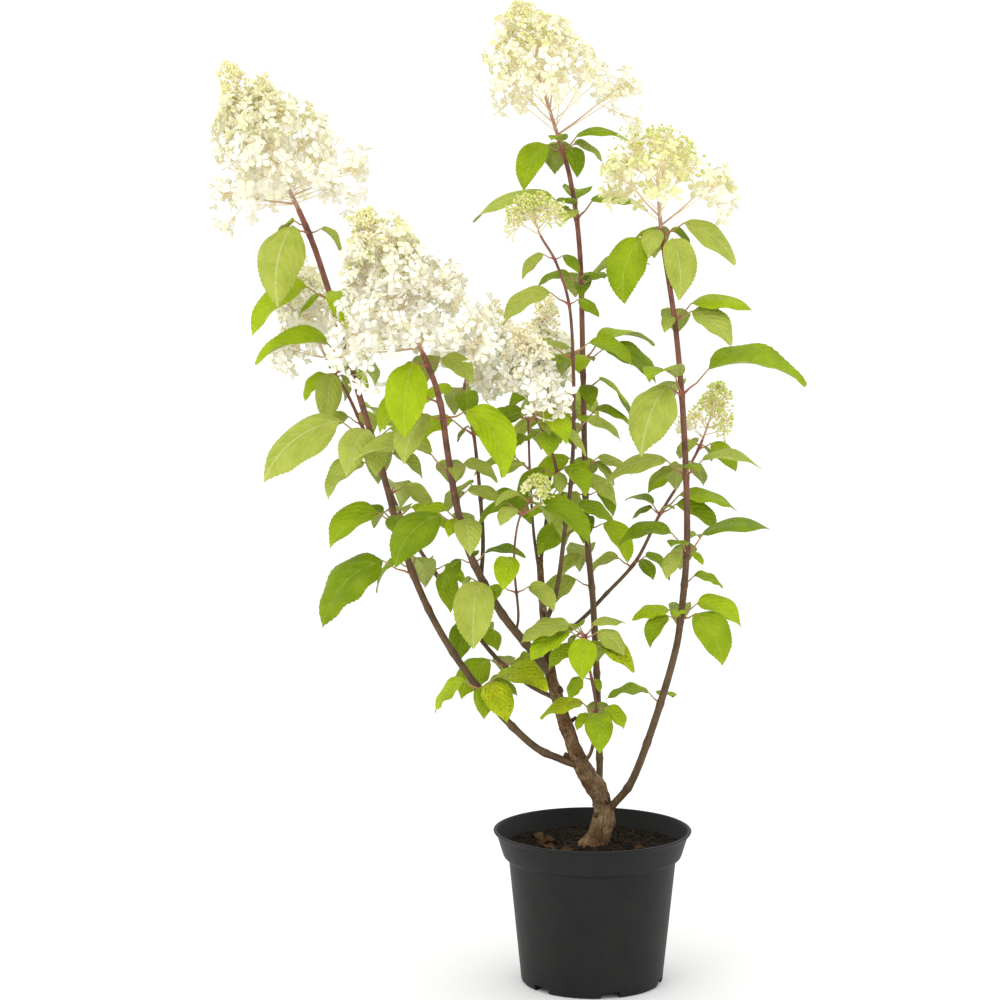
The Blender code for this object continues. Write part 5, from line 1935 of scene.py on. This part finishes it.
@dataclass
class Blade:
    """A toothed, folded and arched leaf blade: a thin closed shell.

    Sizes are shares of its length.
    """

    pose: Pose
    draw: random.Random
    rows: int = 36
    columns: int = 3
    tooth: float = 0.022
    wave: float = 0.020
    thickness: float = 0.004
    # How far the margins bend up or down, at their least and most
    curls: tuple[float, float] = (-0.45, 0.15)
    breadth: float = 1.0
    # The outline's powers at the foot and at the tip, and the peak of their product
    foot_power: float = 0.62
    tip_power: float = 0.95
    peak: float = 0.349
    # Over its last quarter the blade narrows by this share more
    tip_narrowing: float = 0.28
    # How much blades differ: by fold, width and number of waves, and by twist and sway either way
    folds: tuple[float, float] = (0.8, 1.7)
    widths: tuple[float, float] = (0.93, 1.05)
    wave_counts: tuple[float, float] = (1.6, 2.8)
    twist_deg: float = 16
    sway: float = 0.035

    def half_width(self, share: float) -> float:
        """Half the blade's width at a share of its length: rounded at its foot, long at its tip.

        Args:
            share: the share.

        Returns:
            The half width.
        """
        full = share**self.foot_power * (1 - share) ** self.tip_power / self.peak
        tip = max(0.0, (share - 0.75) / 0.25)
        return BLADE_WIDTH / 2 * full * (1 - self.tip_narrowing * tip) * self.breadth

    def add_to(self, shape: Shape, slot: int, underside: int) -> None:
        """Adds the blade.

        Args:
            shape: the piece that it joins.
            slot: its upper skin's material.
            underside: its lower skin's material.
        """
        line = leaf_midrib(self.pose)
        midrib = Curve([place for place, _, _ in line])
        length = self.pose.length
        fold = math.radians(BLADE_FOLD_DEG * self.draw.uniform(*self.folds))
        curl = self.draw.uniform(*self.curls)
        phase = self.draw.uniform(0, math.tau)
        waves = self.draw.uniform(*self.wave_counts)
        twist = math.radians(self.draw.uniform(-self.twist_deg, self.twist_deg))
        sway = length * self.draw.uniform(-self.sway, self.sway)
        width = self.draw.uniform(*self.widths)
        across_blade = 2 * self.columns + 1
        tops, bottoms, spots = [], [], []
        for row in range(1, self.rows):
            share = row / self.rows
            step = share * BLADE_STEPS
            low = min(int(step), BLADE_STEPS - 1)
            up = line[low][1].lerp(line[low + 1][1], step - low).normalized()
            side = line[low][2].lerp(line[low + 1][2], step - low).normalized()
            turned = twist * share
            up, side = (
                up * math.cos(turned) + side * math.sin(turned),
                side * math.cos(turned) - up * math.sin(turned),
            )
            centre = midrib.at(share * midrib.length) + side * sway * math.sin(math.pi * share)
            ahead = midrib.direction(share * midrib.length)
            half = self.half_width(share) * length * width
            for column in range(across_blade):
                lateral = column / self.columns - 1
                away = abs(lateral)
                reach = half * lateral
                forward = 0.0
                if away == 1:
                    toothed = self.tooth if row % 2 else -self.tooth * 0.4
                    reach *= 1 + toothed
                    forward = length / self.rows * (0.45 if row % 2 else 0.0)
                rise = abs(reach) * (math.sin(fold) * (1 - 0.5 * away) + curl * away**2)
                ripple = self.wave * length * away**2 * math.sin(phase + share * math.tau * waves)
                ripple *= 1 if lateral > 0 else -0.8
                point = centre + side * reach * math.cos(fold) + up * (rise + ripple) + ahead * forward
                depth = self.thickness * length * (1 - away**2)
                tops.append(point + up * depth * 0.5)
                bottoms.append(point - up * depth * 0.5)
                spots.append((0.5 + reach / length, share))
        points = [line[0][0], *tops, *bottoms, line[-1][0]]
        marks = [(0.5, 0.0), *spots, *spots, (0.5, 1.0)]
        skin = len(tops)
        end = len(points) - 1
        upper, lower = [], []
        for column in range(across_blade - 1):
            for row in range(self.rows - 2):
                near = 1 + row * across_blade + column
                quad = (near, near + 1, near + 1 + across_blade, near + across_blade)
                upper.append(quad)
                # Turned round, but split along the same diagonal, so that the skins never cross
                lower.append(tuple(skin + quad[corner] for corner in (0, 3, 2, 1)))
            first, last = 1 + column, 1 + (self.rows - 2) * across_blade + column
            upper += [(0, first + 1, first), (last, last + 1, end)]
            lower += [(0, skin + first, skin + first + 1), (skin + last + 1, skin + last, end)]
        # The two skins share their outermost points
        margin = {skin + 1 + row * across_blade: 1 + row * across_blade for row in range(self.rows - 1)}
        margin |= {corner + across_blade - 1: kept + across_blade - 1 for corner, kept in margin.items()}
        lower = [tuple(margin.get(corner, corner) for corner in face) for face in lower]
        used = sorted({corner for face in (*upper, *lower) for corner in face})
        renumber = {corner: number for number, corner in enumerate(used)}
        first = len(shape.faces)
        faces = [tuple(renumber[corner] for corner in face) for face in (*upper, *lower)]
        shape.add([points[corner] for corner in used], faces, slot, [marks[corner] for corner in used])
        shape.slots[first + len(upper) :] = [underside] * len(lower)


@dataclass
class Shoot:
    """A cane's bark with its leaves."""

    limb: Limb
    bark_spacing: float = 0.004
    bark_sides: int = 12
    joint_swelling: float = 0.20
    joint_reach: float = 0.0035
    young_over: float = 0.30
    # The first joint on the bare stretch, and about how far apart they are
    bare_from: float = 0.045
    bare_spacing: float = 0.055
    # Leaves below this height are rounder and more crumpled, and the more so over this stretch
    round_under: float = 0.50
    round_over: float = 0.20
    wave: float = 0.020
    low_wave: float = 0.016
    breadth: float = 1.10
    low_breadth: float = 0.16
    # A petiole's bends as shares of the way to the blade, its sag as a share of the blade's length,
    # and its thickness and its youth at each point, the last two of which are in the blade
    petiole_bends: tuple[float, ...] = (0.08, 0.30, 0.55)
    petiole_sag: float = 0.02
    petiole_thickness: tuple[float, ...] = (1.35, 1.0, 0.85, 0.75, 0.60, 0.35)
    petiole_youth: tuple[float, ...] = (1.0, 0.9, 0.6, 0.3, 0.0, 0.0)
    petiole_sides: int = 6
    # Small leaves in the large ones' joints: their share, their length and how far round they stand
    small_share: float = 0.72
    small_lengths: tuple[float, float] = (0.45, 0.82)
    small_turns_deg: tuple[float, ...] = (75.0, -75.0, 115.0, -115.0, 160.0)
    poses: list[Pose] = field(default_factory=list)

    def place(self, room: Room) -> None:
        """Works out how the leaves stand, as the solids have them, and takes their room.

        Args:
            room: what is taken up so far.
        """
        cane = self.limb.cane
        draw = random.Random(f"{SEED} leaves {cane.name}")
        for leaf, joint in zip(cane.leaves, self.limb.joints):
            root = self.limb.curve.at(joint)
            bearing = leaf.bearing + draw.uniform(-6, 6)
            length = leaf.length * (1 + draw.uniform(-LENGTH_SPREAD, LENGTH_SPREAD))
            hang = leaf.hang + draw.uniform(-0.08, 0.08)
            for turn, lift in [(turn, lift) for lift in LIFTS_DEG for turn in TURNS_DEG]:
                pose = Pose(root, math.radians(bearing + turn), length, hang, lift)
                wide = leaf_sections(pose, LEAF_ROOM)
                blade, stalk = loft(wide[1:]), loft(wide[:2])
                if room.is_free(*blade) and room.is_free(*stalk, but_for=(cane.name,)):
                    room.take(cane.name + " blades", *blade)
                    self.poses.append(pose)
                    break

    def place_small(self, room: Room) -> None:
        """Adds small leaves in the large ones' joints, where there is room for them.

        Args:
            room: what is taken up by the whole plant.
        """
        name = self.limb.cane.name
        draw = random.Random(f"{SEED} small leaves {name}")
        for pose in tuple(self.poses):
            if draw.random() > self.small_share:
                continue
            length = pose.length * draw.uniform(*self.small_lengths)
            hang = pose.hang + draw.uniform(-0.3, 0.2)
            first = draw.randrange(len(self.small_turns_deg))
            for number in range(len(self.small_turns_deg)):
                turn = self.small_turns_deg[(first + number) % len(self.small_turns_deg)]
                small = Pose(pose.root, pose.bearing + math.radians(turn), length, hang, pose.lift)
                blade = loft(leaf_sections(small, LEAF_ROOM)[1:])
                if room.is_free(*blade):
                    room.take(name + " blades", *blade)
                    self.poses.append(small)
                    break

    def tint(self, pose: Pose, draw: random.Random) -> LeafTint:
        """The tint of a leaf: low leaves turn yellow, and those high up and out to the sides are more
        often pale green, which is painted light; deep green, which is painted shade, goes to leaves that
        are low or away from the sides.

        Args:
            pose: how the leaf stands.
            draw: the shoot's draws.

        Returns:
            The tint.
        """
        bright, full, shaded_deep, pale, yellowing = LeafTint
        along, _, height = pose.root
        # The first row that holds counts: by height in metres, and by how far to the left or right
        # Pale green stands for painted light and deep green for painted shade, dealt out by where the
        # leaf stands
        rows = (
            (height < 0.40, (yellowing, bright, yellowing, full)),
            (height < 0.58, (bright, full, shaded_deep, pale)),
            (along < -0.16, (pale, bright, pale)),
            (along > 0.02, (full, pale, bright, pale)),
            (height < 0.80, (full, shaded_deep, pale, bright)),
            (True, (full, pale, shaded_deep, pale)),
        )
        return draw.choice(next(choices for holds, choices in rows if holds))

    def build_leaves(self) -> None:
        """Builds the blades and their petioles."""
        name = self.limb.cane.name
        draw = random.Random(f"{SEED} looks {name}")
        shape, petioles = Shape(), Lines()
        for pose in self.poses:
            low = clamped((self.round_under - pose.root.z) / self.round_over)
            wave = self.wave + self.low_wave * low
            blade = Blade(pose, draw, wave=wave, breadth=self.breadth + self.low_breadth * low)
            blade.add_to(shape, self.tint(pose, draw), UNDERSIDE_SLOT)
            line = leaf_midrib(pose)
            foot, blade_foot = pose.root, line[0][0]
            path = [foot.lerp(blade_foot, share) for share in self.petiole_bends]
            path[-1] = path[-1] - Vector((0, 0, pose.length * self.petiole_sag))
            path += [blade_foot, line[2][0], line[4][0]]
            # A blade of under 8 cm has a thinner petiole
            thin = PETIOLE_RADIUS * min(1.0, 0.6 + pose.length * 5)
            petioles.add(path, [thin * share for share in self.petiole_thickness], self.petiole_youth)
        mesh = shape.mesh(f"{name}_blades", [*BLADES.values(), UNDERSIDE])
        add_piece(f"{name}_blades", mesh, [f"{name}_leaves"])
        mesh = petioles.mesh(f"{name}_petioles", self.petiole_sides, PETIOLE)
        add_piece(f"{name}_petioles", mesh)

    def build_bark(self) -> None:
        """Builds the cane's bark, with a swelling and a ring at each joint."""
        limb, cane = self.limb, self.limb.cane
        draw = random.Random(f"{SEED} bark {cane.name}")
        steps = math.ceil(limb.stem_end / self.bark_spacing)
        path, radii, ages = [], [], []
        joints = sorted(set(limb.joints))
        bare = self.bare_joints(draw)
        for step in range(steps + 1):
            distance = min(limb.stem_end, limb.stem_end * step / steps)
            swelling = sum(
                self.joint_swelling * math.exp(-(((distance - joint) / self.joint_reach) ** 2))
                for joint in (*joints, *bare)
            )
            radius = limb.radius(distance) * (1 + min(swelling, 0.5) + draw.uniform(-0.02, 0.02))
            young = (distance / limb.stem_end - self.young_over) / (1 - self.young_over)
            path.append(limb.curve.at(distance))
            radii.append(radius)
            ages.append(clamped(young))
        lines = Lines()
        lines.add(path, radii, ages)
        mesh = lines.mesh(f"{cane.name}_bark", self.bark_sides, CANE_BARK)
        add_piece(f"{cane.name}_bark", mesh, [f"{cane.name}_cane"] if cane.bare_to else [])

    def bare_joints(self, draw: random.Random) -> list[float]:
        """Joints on the bare stretch, which have lost their leaves.

        Args:
            draw: the bark's draws.

        Returns:
            Their distances along the limb.
        """
        limb = self.limb
        end = limb.curve.at_height(limb.cane.bare_to) if limb.cane.bare_to else 0.0
        joints, distance = [], self.bare_from
        while distance < end - 0.02:
            joints.append(distance)
            distance += self.bare_spacing * draw.uniform(0.8, 1.2)
        return joints


class Stub(NamedTuple):
    """A short snag on a limb: how high, its bearing, its length and its radius."""

    height: float
    bearing: float
    length: float
    radius: float


@dataclass
class OldWood:
    """The trunk and its leader, with bark relief, knots and snags."""

    limb: Trunk
    sides: int = 44
    spacing: float = 0.0022
    relief: float = 0.0017
    scar_spacing: float = 0.021
    scar_rise: float = 0.0011
    scar_wander: float = 0.003
    # Where the limb is thinner than this, its relief fades
    full_relief: float = 0.009
    snag_sides: int = 12
    snag_spacing: float = 0.002
    snag_flare: float = 0.006
    sharp_deg: float = 70
    stubs: tuple = (
        Stub(0.252, 190, 0.012, 0.0030), Stub(0.445, 185, 0.012, 0.0020), Stub(0.300, 20, 0.007, 0.0022),
        Stub(0.222, 160, 0.006, 0.0032), Stub(0.372, 250, 0.006, 0.0018), Stub(0.186, 205, 0.002, 0.0046),
        Stub(0.203, 300, 0.001, 0.0040), Stub(0.262, 268, 0.001, 0.0036), Stub(0.318, 225, 0.002, 0.0044),
        Stub(0.334, 330, 0.002, 0.0040),
    )

    def bark_radius(self, distance: float, angle: float) -> float:
        """The trunk's radius with the ridges and pits of its bark.

        Args:
            distance: how far along the trunk.
            angle: how far round it.

        Returns:
            The radius.
        """
        # Ridges are about 17 mm long and lumps 36 mm
        ridges = noise.fractal(
            Vector((math.cos(angle) * 2.2, math.sin(angle) * 2.2, distance * 60)), 0.8, 2.1, 4
        )
        lumps = noise.noise(Vector((math.cos(angle), math.sin(angle), distance * 28)))
        # Each ring scar has a sharp lower edge, and wanders a little as it goes round
        wander = self.scar_wander * math.sin(angle + distance * 90)
        along = (distance + wander) / self.scar_spacing
        scar = self.scar_rise * max(0.0, 1 - 5 * (along % 1.0)) * (0.6 + lumps)
        radius = self.limb.radius(distance, angle)
        fade = min(1.0, radius / self.full_relief)
        return radius + fade * (self.relief * (ridges + 1.2 * lumps) + scar)

    def build(self) -> None:
        """Builds the bark as one piece."""
        shape = Shape()
        curve = self.limb.curve
        shape.add(*tube(curve, 0.0, curve.length, self.bark_radius, self.sides, self.spacing))
        for stub in self.stubs:
            distance = curve.at_height(stub.height)
            foot = curve.at(distance)
            bearing = math.radians(stub.bearing)
            outward = Vector((math.cos(bearing), math.sin(bearing), 0.6)).normalized()
            reach = self.limb.radius(distance) + stub.length
            snag = Curve([foot, foot + outward * reach * 0.6, foot + outward * reach])

            def snag_radius(place: float, angle: float, stub: Stub = stub) -> float:
                """A snag is wide at its foot and rough all round."""
                rough = noise.noise(Vector((math.cos(angle) * 2, math.sin(angle) * 2, place * 300)))
                return stub.radius * (1 + 0.5 * math.exp(-place / self.snag_flare) + 0.18 * rough)

            wood = tube(snag, 0.0, snag.length, snag_radius, self.snag_sides, self.snag_spacing)
            shape.add(*wood, slot=1)
        mesh = shape.mesh("trunk_bark", [OLD_BARK, SNAG_WOOD], sharp_deg=self.sharp_deg)
        face_outwards(mesh)
        add_piece("trunk_bark", mesh, ["trunk", "leader"])


def lathe(profile: Sequence[tuple[float, float]], sides: int) -> tuple[list, list]:
    """A closed turned shape.

    Args:
        profile: its radii and heights. It starts and ends on the axis.
        sides: its number of sides.

    Returns:
        Its points and faces.
    """
    points = [Vector((0, 0, profile[0][1])), Vector((0, 0, profile[-1][1]))]
    rings = profile[1:-1]
    for radius, height in rings:
        for corner in range(sides):
            angle = math.tau * corner / sides
            points.append(Vector((radius * math.cos(angle), radius * math.sin(angle), height)))
    faces = []
    last = 2 + (len(rings) - 1) * sides
    for corner in range(sides):
        following = (corner + 1) % sides
        faces.append((0, 2 + following, 2 + corner))
        faces.append((1, last + corner, last + following))
        for ring in range(len(rings) - 1):
            low = 2 + ring * sides
            high = low + sides
            faces.append((low + corner, low + following, high + following, high + corner))
    return points, faces


def rounded(corners: Sequence[tuple[float, float]], reach: float) -> list:
    """A profile with its inner corners rounded off.

    Args:
        corners: the profile's corners.
        reach: how far from a corner the rounding starts.

    Returns:
        The finer profile.
    """
    finer = [corners[0]]
    for before, corner, after in zip(corners, corners[1:], corners[2:]):
        start, turn, end = Vector(before), Vector(corner), Vector(after)
        first = turn + (start - turn).normalized() * min(reach, (start - turn).length * 0.4)
        second = turn + (end - turn).normalized() * min(reach, (end - turn).length * 0.4)
        for step in range(ROUNDING_STEPS + 1):
            share = step / ROUNDING_STEPS
            place = first.lerp(turn, share).lerp(turn.lerp(second, share), share)
            finer.append((place.x, place.y))
    return [*finer, corners[-1]]


@dataclass
class Pot:
    """The nursery pot: a tapered body, a shelf, a flared rim and six drainage notches."""

    height: float = 0.178
    rim_radius: float = 0.1145
    shelf_height: float = 0.147
    shelf_radius: float = 0.1035
    body_top_radius: float = 0.0968
    body_foot_radius: float = 0.082
    wall: float = 0.002
    floor_top: float = 0.011
    channel_depth: float = 0.008
    channel_inner: float = 0.045
    channel_outer: float = 0.073
    notches: int = 6
    notch_width: float = 0.022
    notch_turn_deg: float = 13.0
    sides: int = 144

    def wall_radius(self, height: float) -> float:
        """The inside radius of the pot's body at a height."""
        share = height / (self.shelf_height - 0.003)
        return self.body_foot_radius + (self.body_top_radius - self.body_foot_radius) * share - self.wall

    def build(self) -> None:
        """Builds the pot as one piece."""
        shelf, top = self.shelf_height, self.height
        # The small offsets, of a few millimetres, are the mould's bends and lips
        profile = (
            (0.0, 0.0), (self.channel_inner, 0.0), (self.channel_inner + 0.002, self.channel_depth),
            (self.channel_outer, self.channel_depth), (self.channel_outer + 0.003, 0.0),
            (self.body_foot_radius - 0.002, 0.0), (self.body_foot_radius, 0.0025),
            (self.body_top_radius - 0.0006, shelf - 0.007), (self.body_top_radius, shelf - 0.003),
            (self.shelf_radius - 0.0015, shelf), (self.shelf_radius, shelf + 0.003),
            (self.rim_radius - 0.004, top - 0.005), (self.rim_radius - 0.0010, top - 0.0030),
            (self.rim_radius, top - 0.001), (self.rim_radius - 0.0012, top),
            (self.rim_radius - 0.0040, top), (self.rim_radius - 0.0060, top - 0.006),
            (self.shelf_radius - self.wall, shelf + 0.005),
            (self.body_top_radius - self.wall, shelf + 0.001),
            (self.wall_radius(self.floor_top), self.floor_top), (0.0, self.floor_top),
        )
        shape = Shape()
        shape.add(*lathe(rounded(profile, 0.0012), self.sides))
        mesh = shape.mesh("pot_shell", [POT_PLASTIC])
        face_outwards(mesh)
        work = new_object("pot work", mesh)
        cutters = [self.cutter(notch) for notch in range(self.notches)]
        for cutter in cutters:
            notch = work.modifiers.new("notch", "BOOLEAN")
            notch.operation = "DIFFERENCE"
            notch.solver = "EXACT"
            notch.object = cutter
        graph = bpy.context.evaluated_depsgraph_get()
        cut = bpy.data.meshes.new_from_object(work.evaluated_get(graph))
        for helper in (work, *cutters):
            bpy.data.objects.remove(helper)
        cut.shade_smooth()
        cut.set_sharp_from_angle(angle=math.radians(32))
        add_piece("pot_shell", cut, ["pot"])

    def cutter(self, number: int) -> bpy.types.Object:
        """The block that cuts one drainage notch.

        Args:
            number: the notch's number.

        Returns:
            The block.
        """
        reach = self.body_foot_radius - self.channel_outer + 0.012
        turn = math.tau * number / self.notches + math.radians(self.notch_turn_deg - 90)
        work = bmesh.new()
        bmesh.ops.create_cube(work, size=1.0)
        sized = Matrix.Diagonal((reach, self.notch_width, 2 * (self.channel_depth - 0.0008), 1))
        outward = Matrix.Translation((self.channel_outer + reach / 2 - 0.004, 0, 0))
        placed = Matrix.Rotation(turn, 4, "Z") @ outward @ sized
        bmesh.ops.transform(work, matrix=placed, verts=work.verts)
        mesh = bpy.data.meshes.new("notch")
        work.to_mesh(mesh)
        work.free()
        return new_object("notch", mesh)


@dataclass
class Compost:
    """The compost: an uneven top strewn with crumbs, with a few dry leaves on it."""

    pot: Pot
    relief: float = 0.003
    lump_height: float = 0.0014
    flat_patch: float = 0.034
    # The side's bends over the pot's shelf, and how far under the top crumbs are still strewn
    lower_bend: float = 0.0018
    upper_bend: float = 0.0062
    strewn_depth: float = 0.006
    sides: int = 96
    rings: int = 22
    crumb_spacing: float = 0.0030
    crumb_density: float = 110000.0
    crumb_sizes: tuple = (0.0012, 0.0034)
    # Each dry leaf's foot, its bearing in degrees and its length, and how they all lie
    litter: tuple = (
        ((-0.066, -0.040, 0.1580), 20, 0.026), ((-0.040, -0.058, 0.1578), 150, 0.024),
        ((-0.018, -0.060, 0.1575), 205, 0.022), ((-0.072, 0.010, 0.1585), 300, 0.025),
        ((0.040, -0.050, 0.1578), 350, 0.020),
    )
    litter_hang: float = -0.3

    def surface(self) -> Shape:
        """The compost's closed body, with a fine relief on its top.

        Returns:
            The body.
        """
        pot = self.pot
        shelf = pot.shelf_height
        clear = GAP * 2
        bottom = pot.floor_top + GAP
        edge = pot.shelf_radius - pot.wall - clear
        profile = [
            (0.0, bottom), (pot.wall_radius(bottom) - clear, bottom),
            (pot.body_top_radius - pot.wall - clear, shelf + self.lower_bend),
            (edge, shelf + self.upper_bend), (edge, GROUND - 0.001),
        ]
        profile += [(edge * (1 - ring / self.rings), GROUND) for ring in range(1, self.rings)]
        points, faces = lathe([*profile, (0.0, GROUND)], self.sides)
        for point in points:
            if point.z >= GROUND - 0.002:
                away = math.hypot(point.x, point.y)
                # Swells are about 33 mm across and lumps 6 mm
                rough = 0.5 if away < self.flat_patch else 1.0
                swell = self.relief * rough * noise.noise(point * 30)
                point.z += swell + self.lump_height * noise.fractal(point * 160, 0.7, 2.0, 3)
        shape = Shape()
        shape.add(points, faces)
        return shape

    def crumb_tree(self) -> bpy.types.NodeTree:
        """The strewing tree: it lays crumbs of mixed sizes on the top.

        Returns:
            The tree.
        """
        sizes = ("Spacing", "Density", "Smallest", "Largest", "Lowest")
        inputs = {"Models": "Collection", **{name: "Float" for name in sizes}}
        tree = new_tree("strew crumbs", {**inputs, "Seed": "Int", "Finish": "Material"})
        add = partial(add_node, tree)
        given = add("NodeGroupInput").outputs
        height = add("ShaderNodeSeparateXYZ", links={0: add("GeometryNodeInputPosition")})
        higher = {"data_type": "FLOAT", "operation": "GREATER_THAN"}
        on_top = add("FunctionNodeCompare", higher, {0: height.outputs[2], 1: given["Lowest"]})
        where = {"Mesh": given["Geometry"], "Selection": on_top}
        rules = {"Distance Min": given["Spacing"], "Density Max": given["Density"], "Seed": given["Seed"]}
        apart = {"distribute_method": "POISSON"}
        strewn = add("GeometryNodeDistributePointsOnFaces", apart, where | rules)
        parted = {"Separate Children": True, "Reset Children": True}
        models = add("GeometryNodeCollectionInfo", parted, {"Collection": given["Models"]})
        turns = {"data_type": "FLOAT_VECTOR", 0: (0.0, 0.0, 0.0), 1: (math.tau, math.tau, math.tau)}
        turn = add("FunctionNodeRandomValue", turns, {"Seed": given["Seed"]})
        limits = {2: given["Smallest"], 3: given["Largest"], "Seed": given["Seed"]}
        size = add("FunctionNodeRandomValue", {"data_type": "FLOAT"}, limits)
        links = {"Points": strewn, "Instance": models, "Rotation": turn, "Scale": size}
        placed = add("GeometryNodeInstanceOnPoints", {"Pick Instance": True}, links)
        return end_tree(add, placed, given)

    def build(self) -> None:
        """Builds the compost, its crumbs and the dry leaves."""
        surface = self.surface()
        mesh = surface.mesh("compost_body", [COMPOST])
        face_outwards(mesh)
        crumb_models = BeadModels(Model.CHIP, 0.9, 0.6).make()
        settings = {
            "Models": crumb_models, "Spacing": self.crumb_spacing, "Density": self.crumb_density,
            "Smallest": self.crumb_sizes[0], "Largest": self.crumb_sizes[1],
            "Lowest": GROUND - self.strewn_depth, "Seed": SEED, "Finish": CHIPS.make(),
        }
        crumbs = run_tree(mesh.copy(), self.crumb_tree(), settings)
        add_piece("compost_body", mesh, ["compost"])
        add_piece("compost_crumbs", crumbs)
        shape = Shape()
        draw = random.Random(f"{SEED} litter")
        for foot, bearing, length in self.litter:
            pose = Pose(Vector(foot), math.radians(bearing), length, self.litter_hang, 0)
            Blade(pose, draw, wave=0.05, curls=(0.3, 0.8)).add_to(shape, 0, 0)
        add_piece("dry_leaves", shape.mesh("dry_leaves", [DRY_LEAF]))


@dataclass
class Studio:
    """The pale floor, the soft lights and the camera at the photograph's angle."""

    floor_half: float = 200.0
    camera_place: tuple = (-0.1067, -3.0, 0.88)
    pitch_deg: float = 6.09
    sensor_mm: float = 36.0
    lens_mm: float = 95.26
    world_strength: float = 1.10
    # Each soft box's place, size and power in watts, and what they point at
    lights: tuple = (((-2.0, -2.6, 2.8), 2.0, 17.0), ((0.6, 1.8, 3.0), 2.4, 9.0))
    target: tuple = (-0.1, 0.0, 0.55)
    sun_strength: float = 0.22
    sun_angle_deg: float = 70.0
    sun_turns_deg: tuple = (12, -14, 0)

    def build(self) -> None:
        """Builds the studio."""
        scene = bpy.context.scene
        scene.view_settings.view_transform = "Standard"
        half = self.floor_half
        mesh = bpy.data.meshes.new("floor")
        corners = [(-half, -half, 0), (half, -half, 0), (half, half, 0), (-half, half, 0)]
        mesh.from_pydata(corners, [], [(0, 1, 2, 3)])
        mesh.materials.append(PALE_FLOOR.make())
        floor = new_object("floor", mesh)
        world = bpy.data.worlds.new("soft white")
        world.use_nodes = True
        sky = world.node_tree.nodes["Background"]
        sky.inputs["Color"].default_value = (1.0, 1.0, 1.0, 1.0)
        sky.inputs["Strength"].default_value = self.world_strength
        scene.world = world
        for number, (place, size, power) in enumerate(self.lights):
            light = bpy.data.lights.new(f"soft box {number}", "AREA")
            light.shape = "SQUARE"
            light.size = size
            light.energy = power
            lamp = new_object(light.name, light)
            lamp.location = place
            ahead = Vector(self.target) - Vector(place)
            lamp.rotation_euler = ahead.to_track_quat("-Z", "Y").to_euler()
        sun = bpy.data.lights.new("soft daylight", "SUN")
        sun.energy = self.sun_strength
        sun.angle = math.radians(self.sun_angle_deg)
        high = new_object(sun.name, sun)
        high.rotation_euler = [math.radians(turn) for turn in self.sun_turns_deg]
        camera = bpy.data.cameras.new("photo angle")
        camera.sensor_width = self.sensor_mm
        camera.lens = self.lens_mm
        view = new_object("photo angle", camera)
        view.location = self.camera_place
        view.rotation_euler = (math.radians(90 - self.pitch_deg), 0, 0)
        scene.camera = view


def main() -> None:
    """Builds the studio, the pot and the plant, each piece in its place."""
    logging.basicConfig(level=logging.INFO, format="%(name)s: %(message)s")
    Studio().build()
    pot = Pot()
    pot.build()
    Compost(pot).build()
    trunk = Trunk(TRUNK)
    limbs = [Limb(cane) for cane in CANES]
    room = Room()
    for limb in (trunk, *limbs):
        room.take(limb.cane.name, *limb.stretch(0.0, limb.stem_end, clearance=LIMB_ROOM))
    OldWood(trunk).build()
    floret_models = FloretModels().make()
    bud_models = BeadModels(Model.BUD, 0.12, 1.15).make()
    panicles = [Panicle(limb) for limb in limbs if limb.cane.bloom]
    shoots = [Shoot(limb) for limb in limbs]
    for grown in (*panicles, *shoots):
        grown.place(room)
    for shoot in shoots:
        shoot.place_small(room)
    for shoot in shoots:
        shoot.build_bark()
        shoot.build_leaves()
    for panicle in panicles:
        panicle.build(room, floret_models, bud_models)


if __name__ == "__main__":
    main()
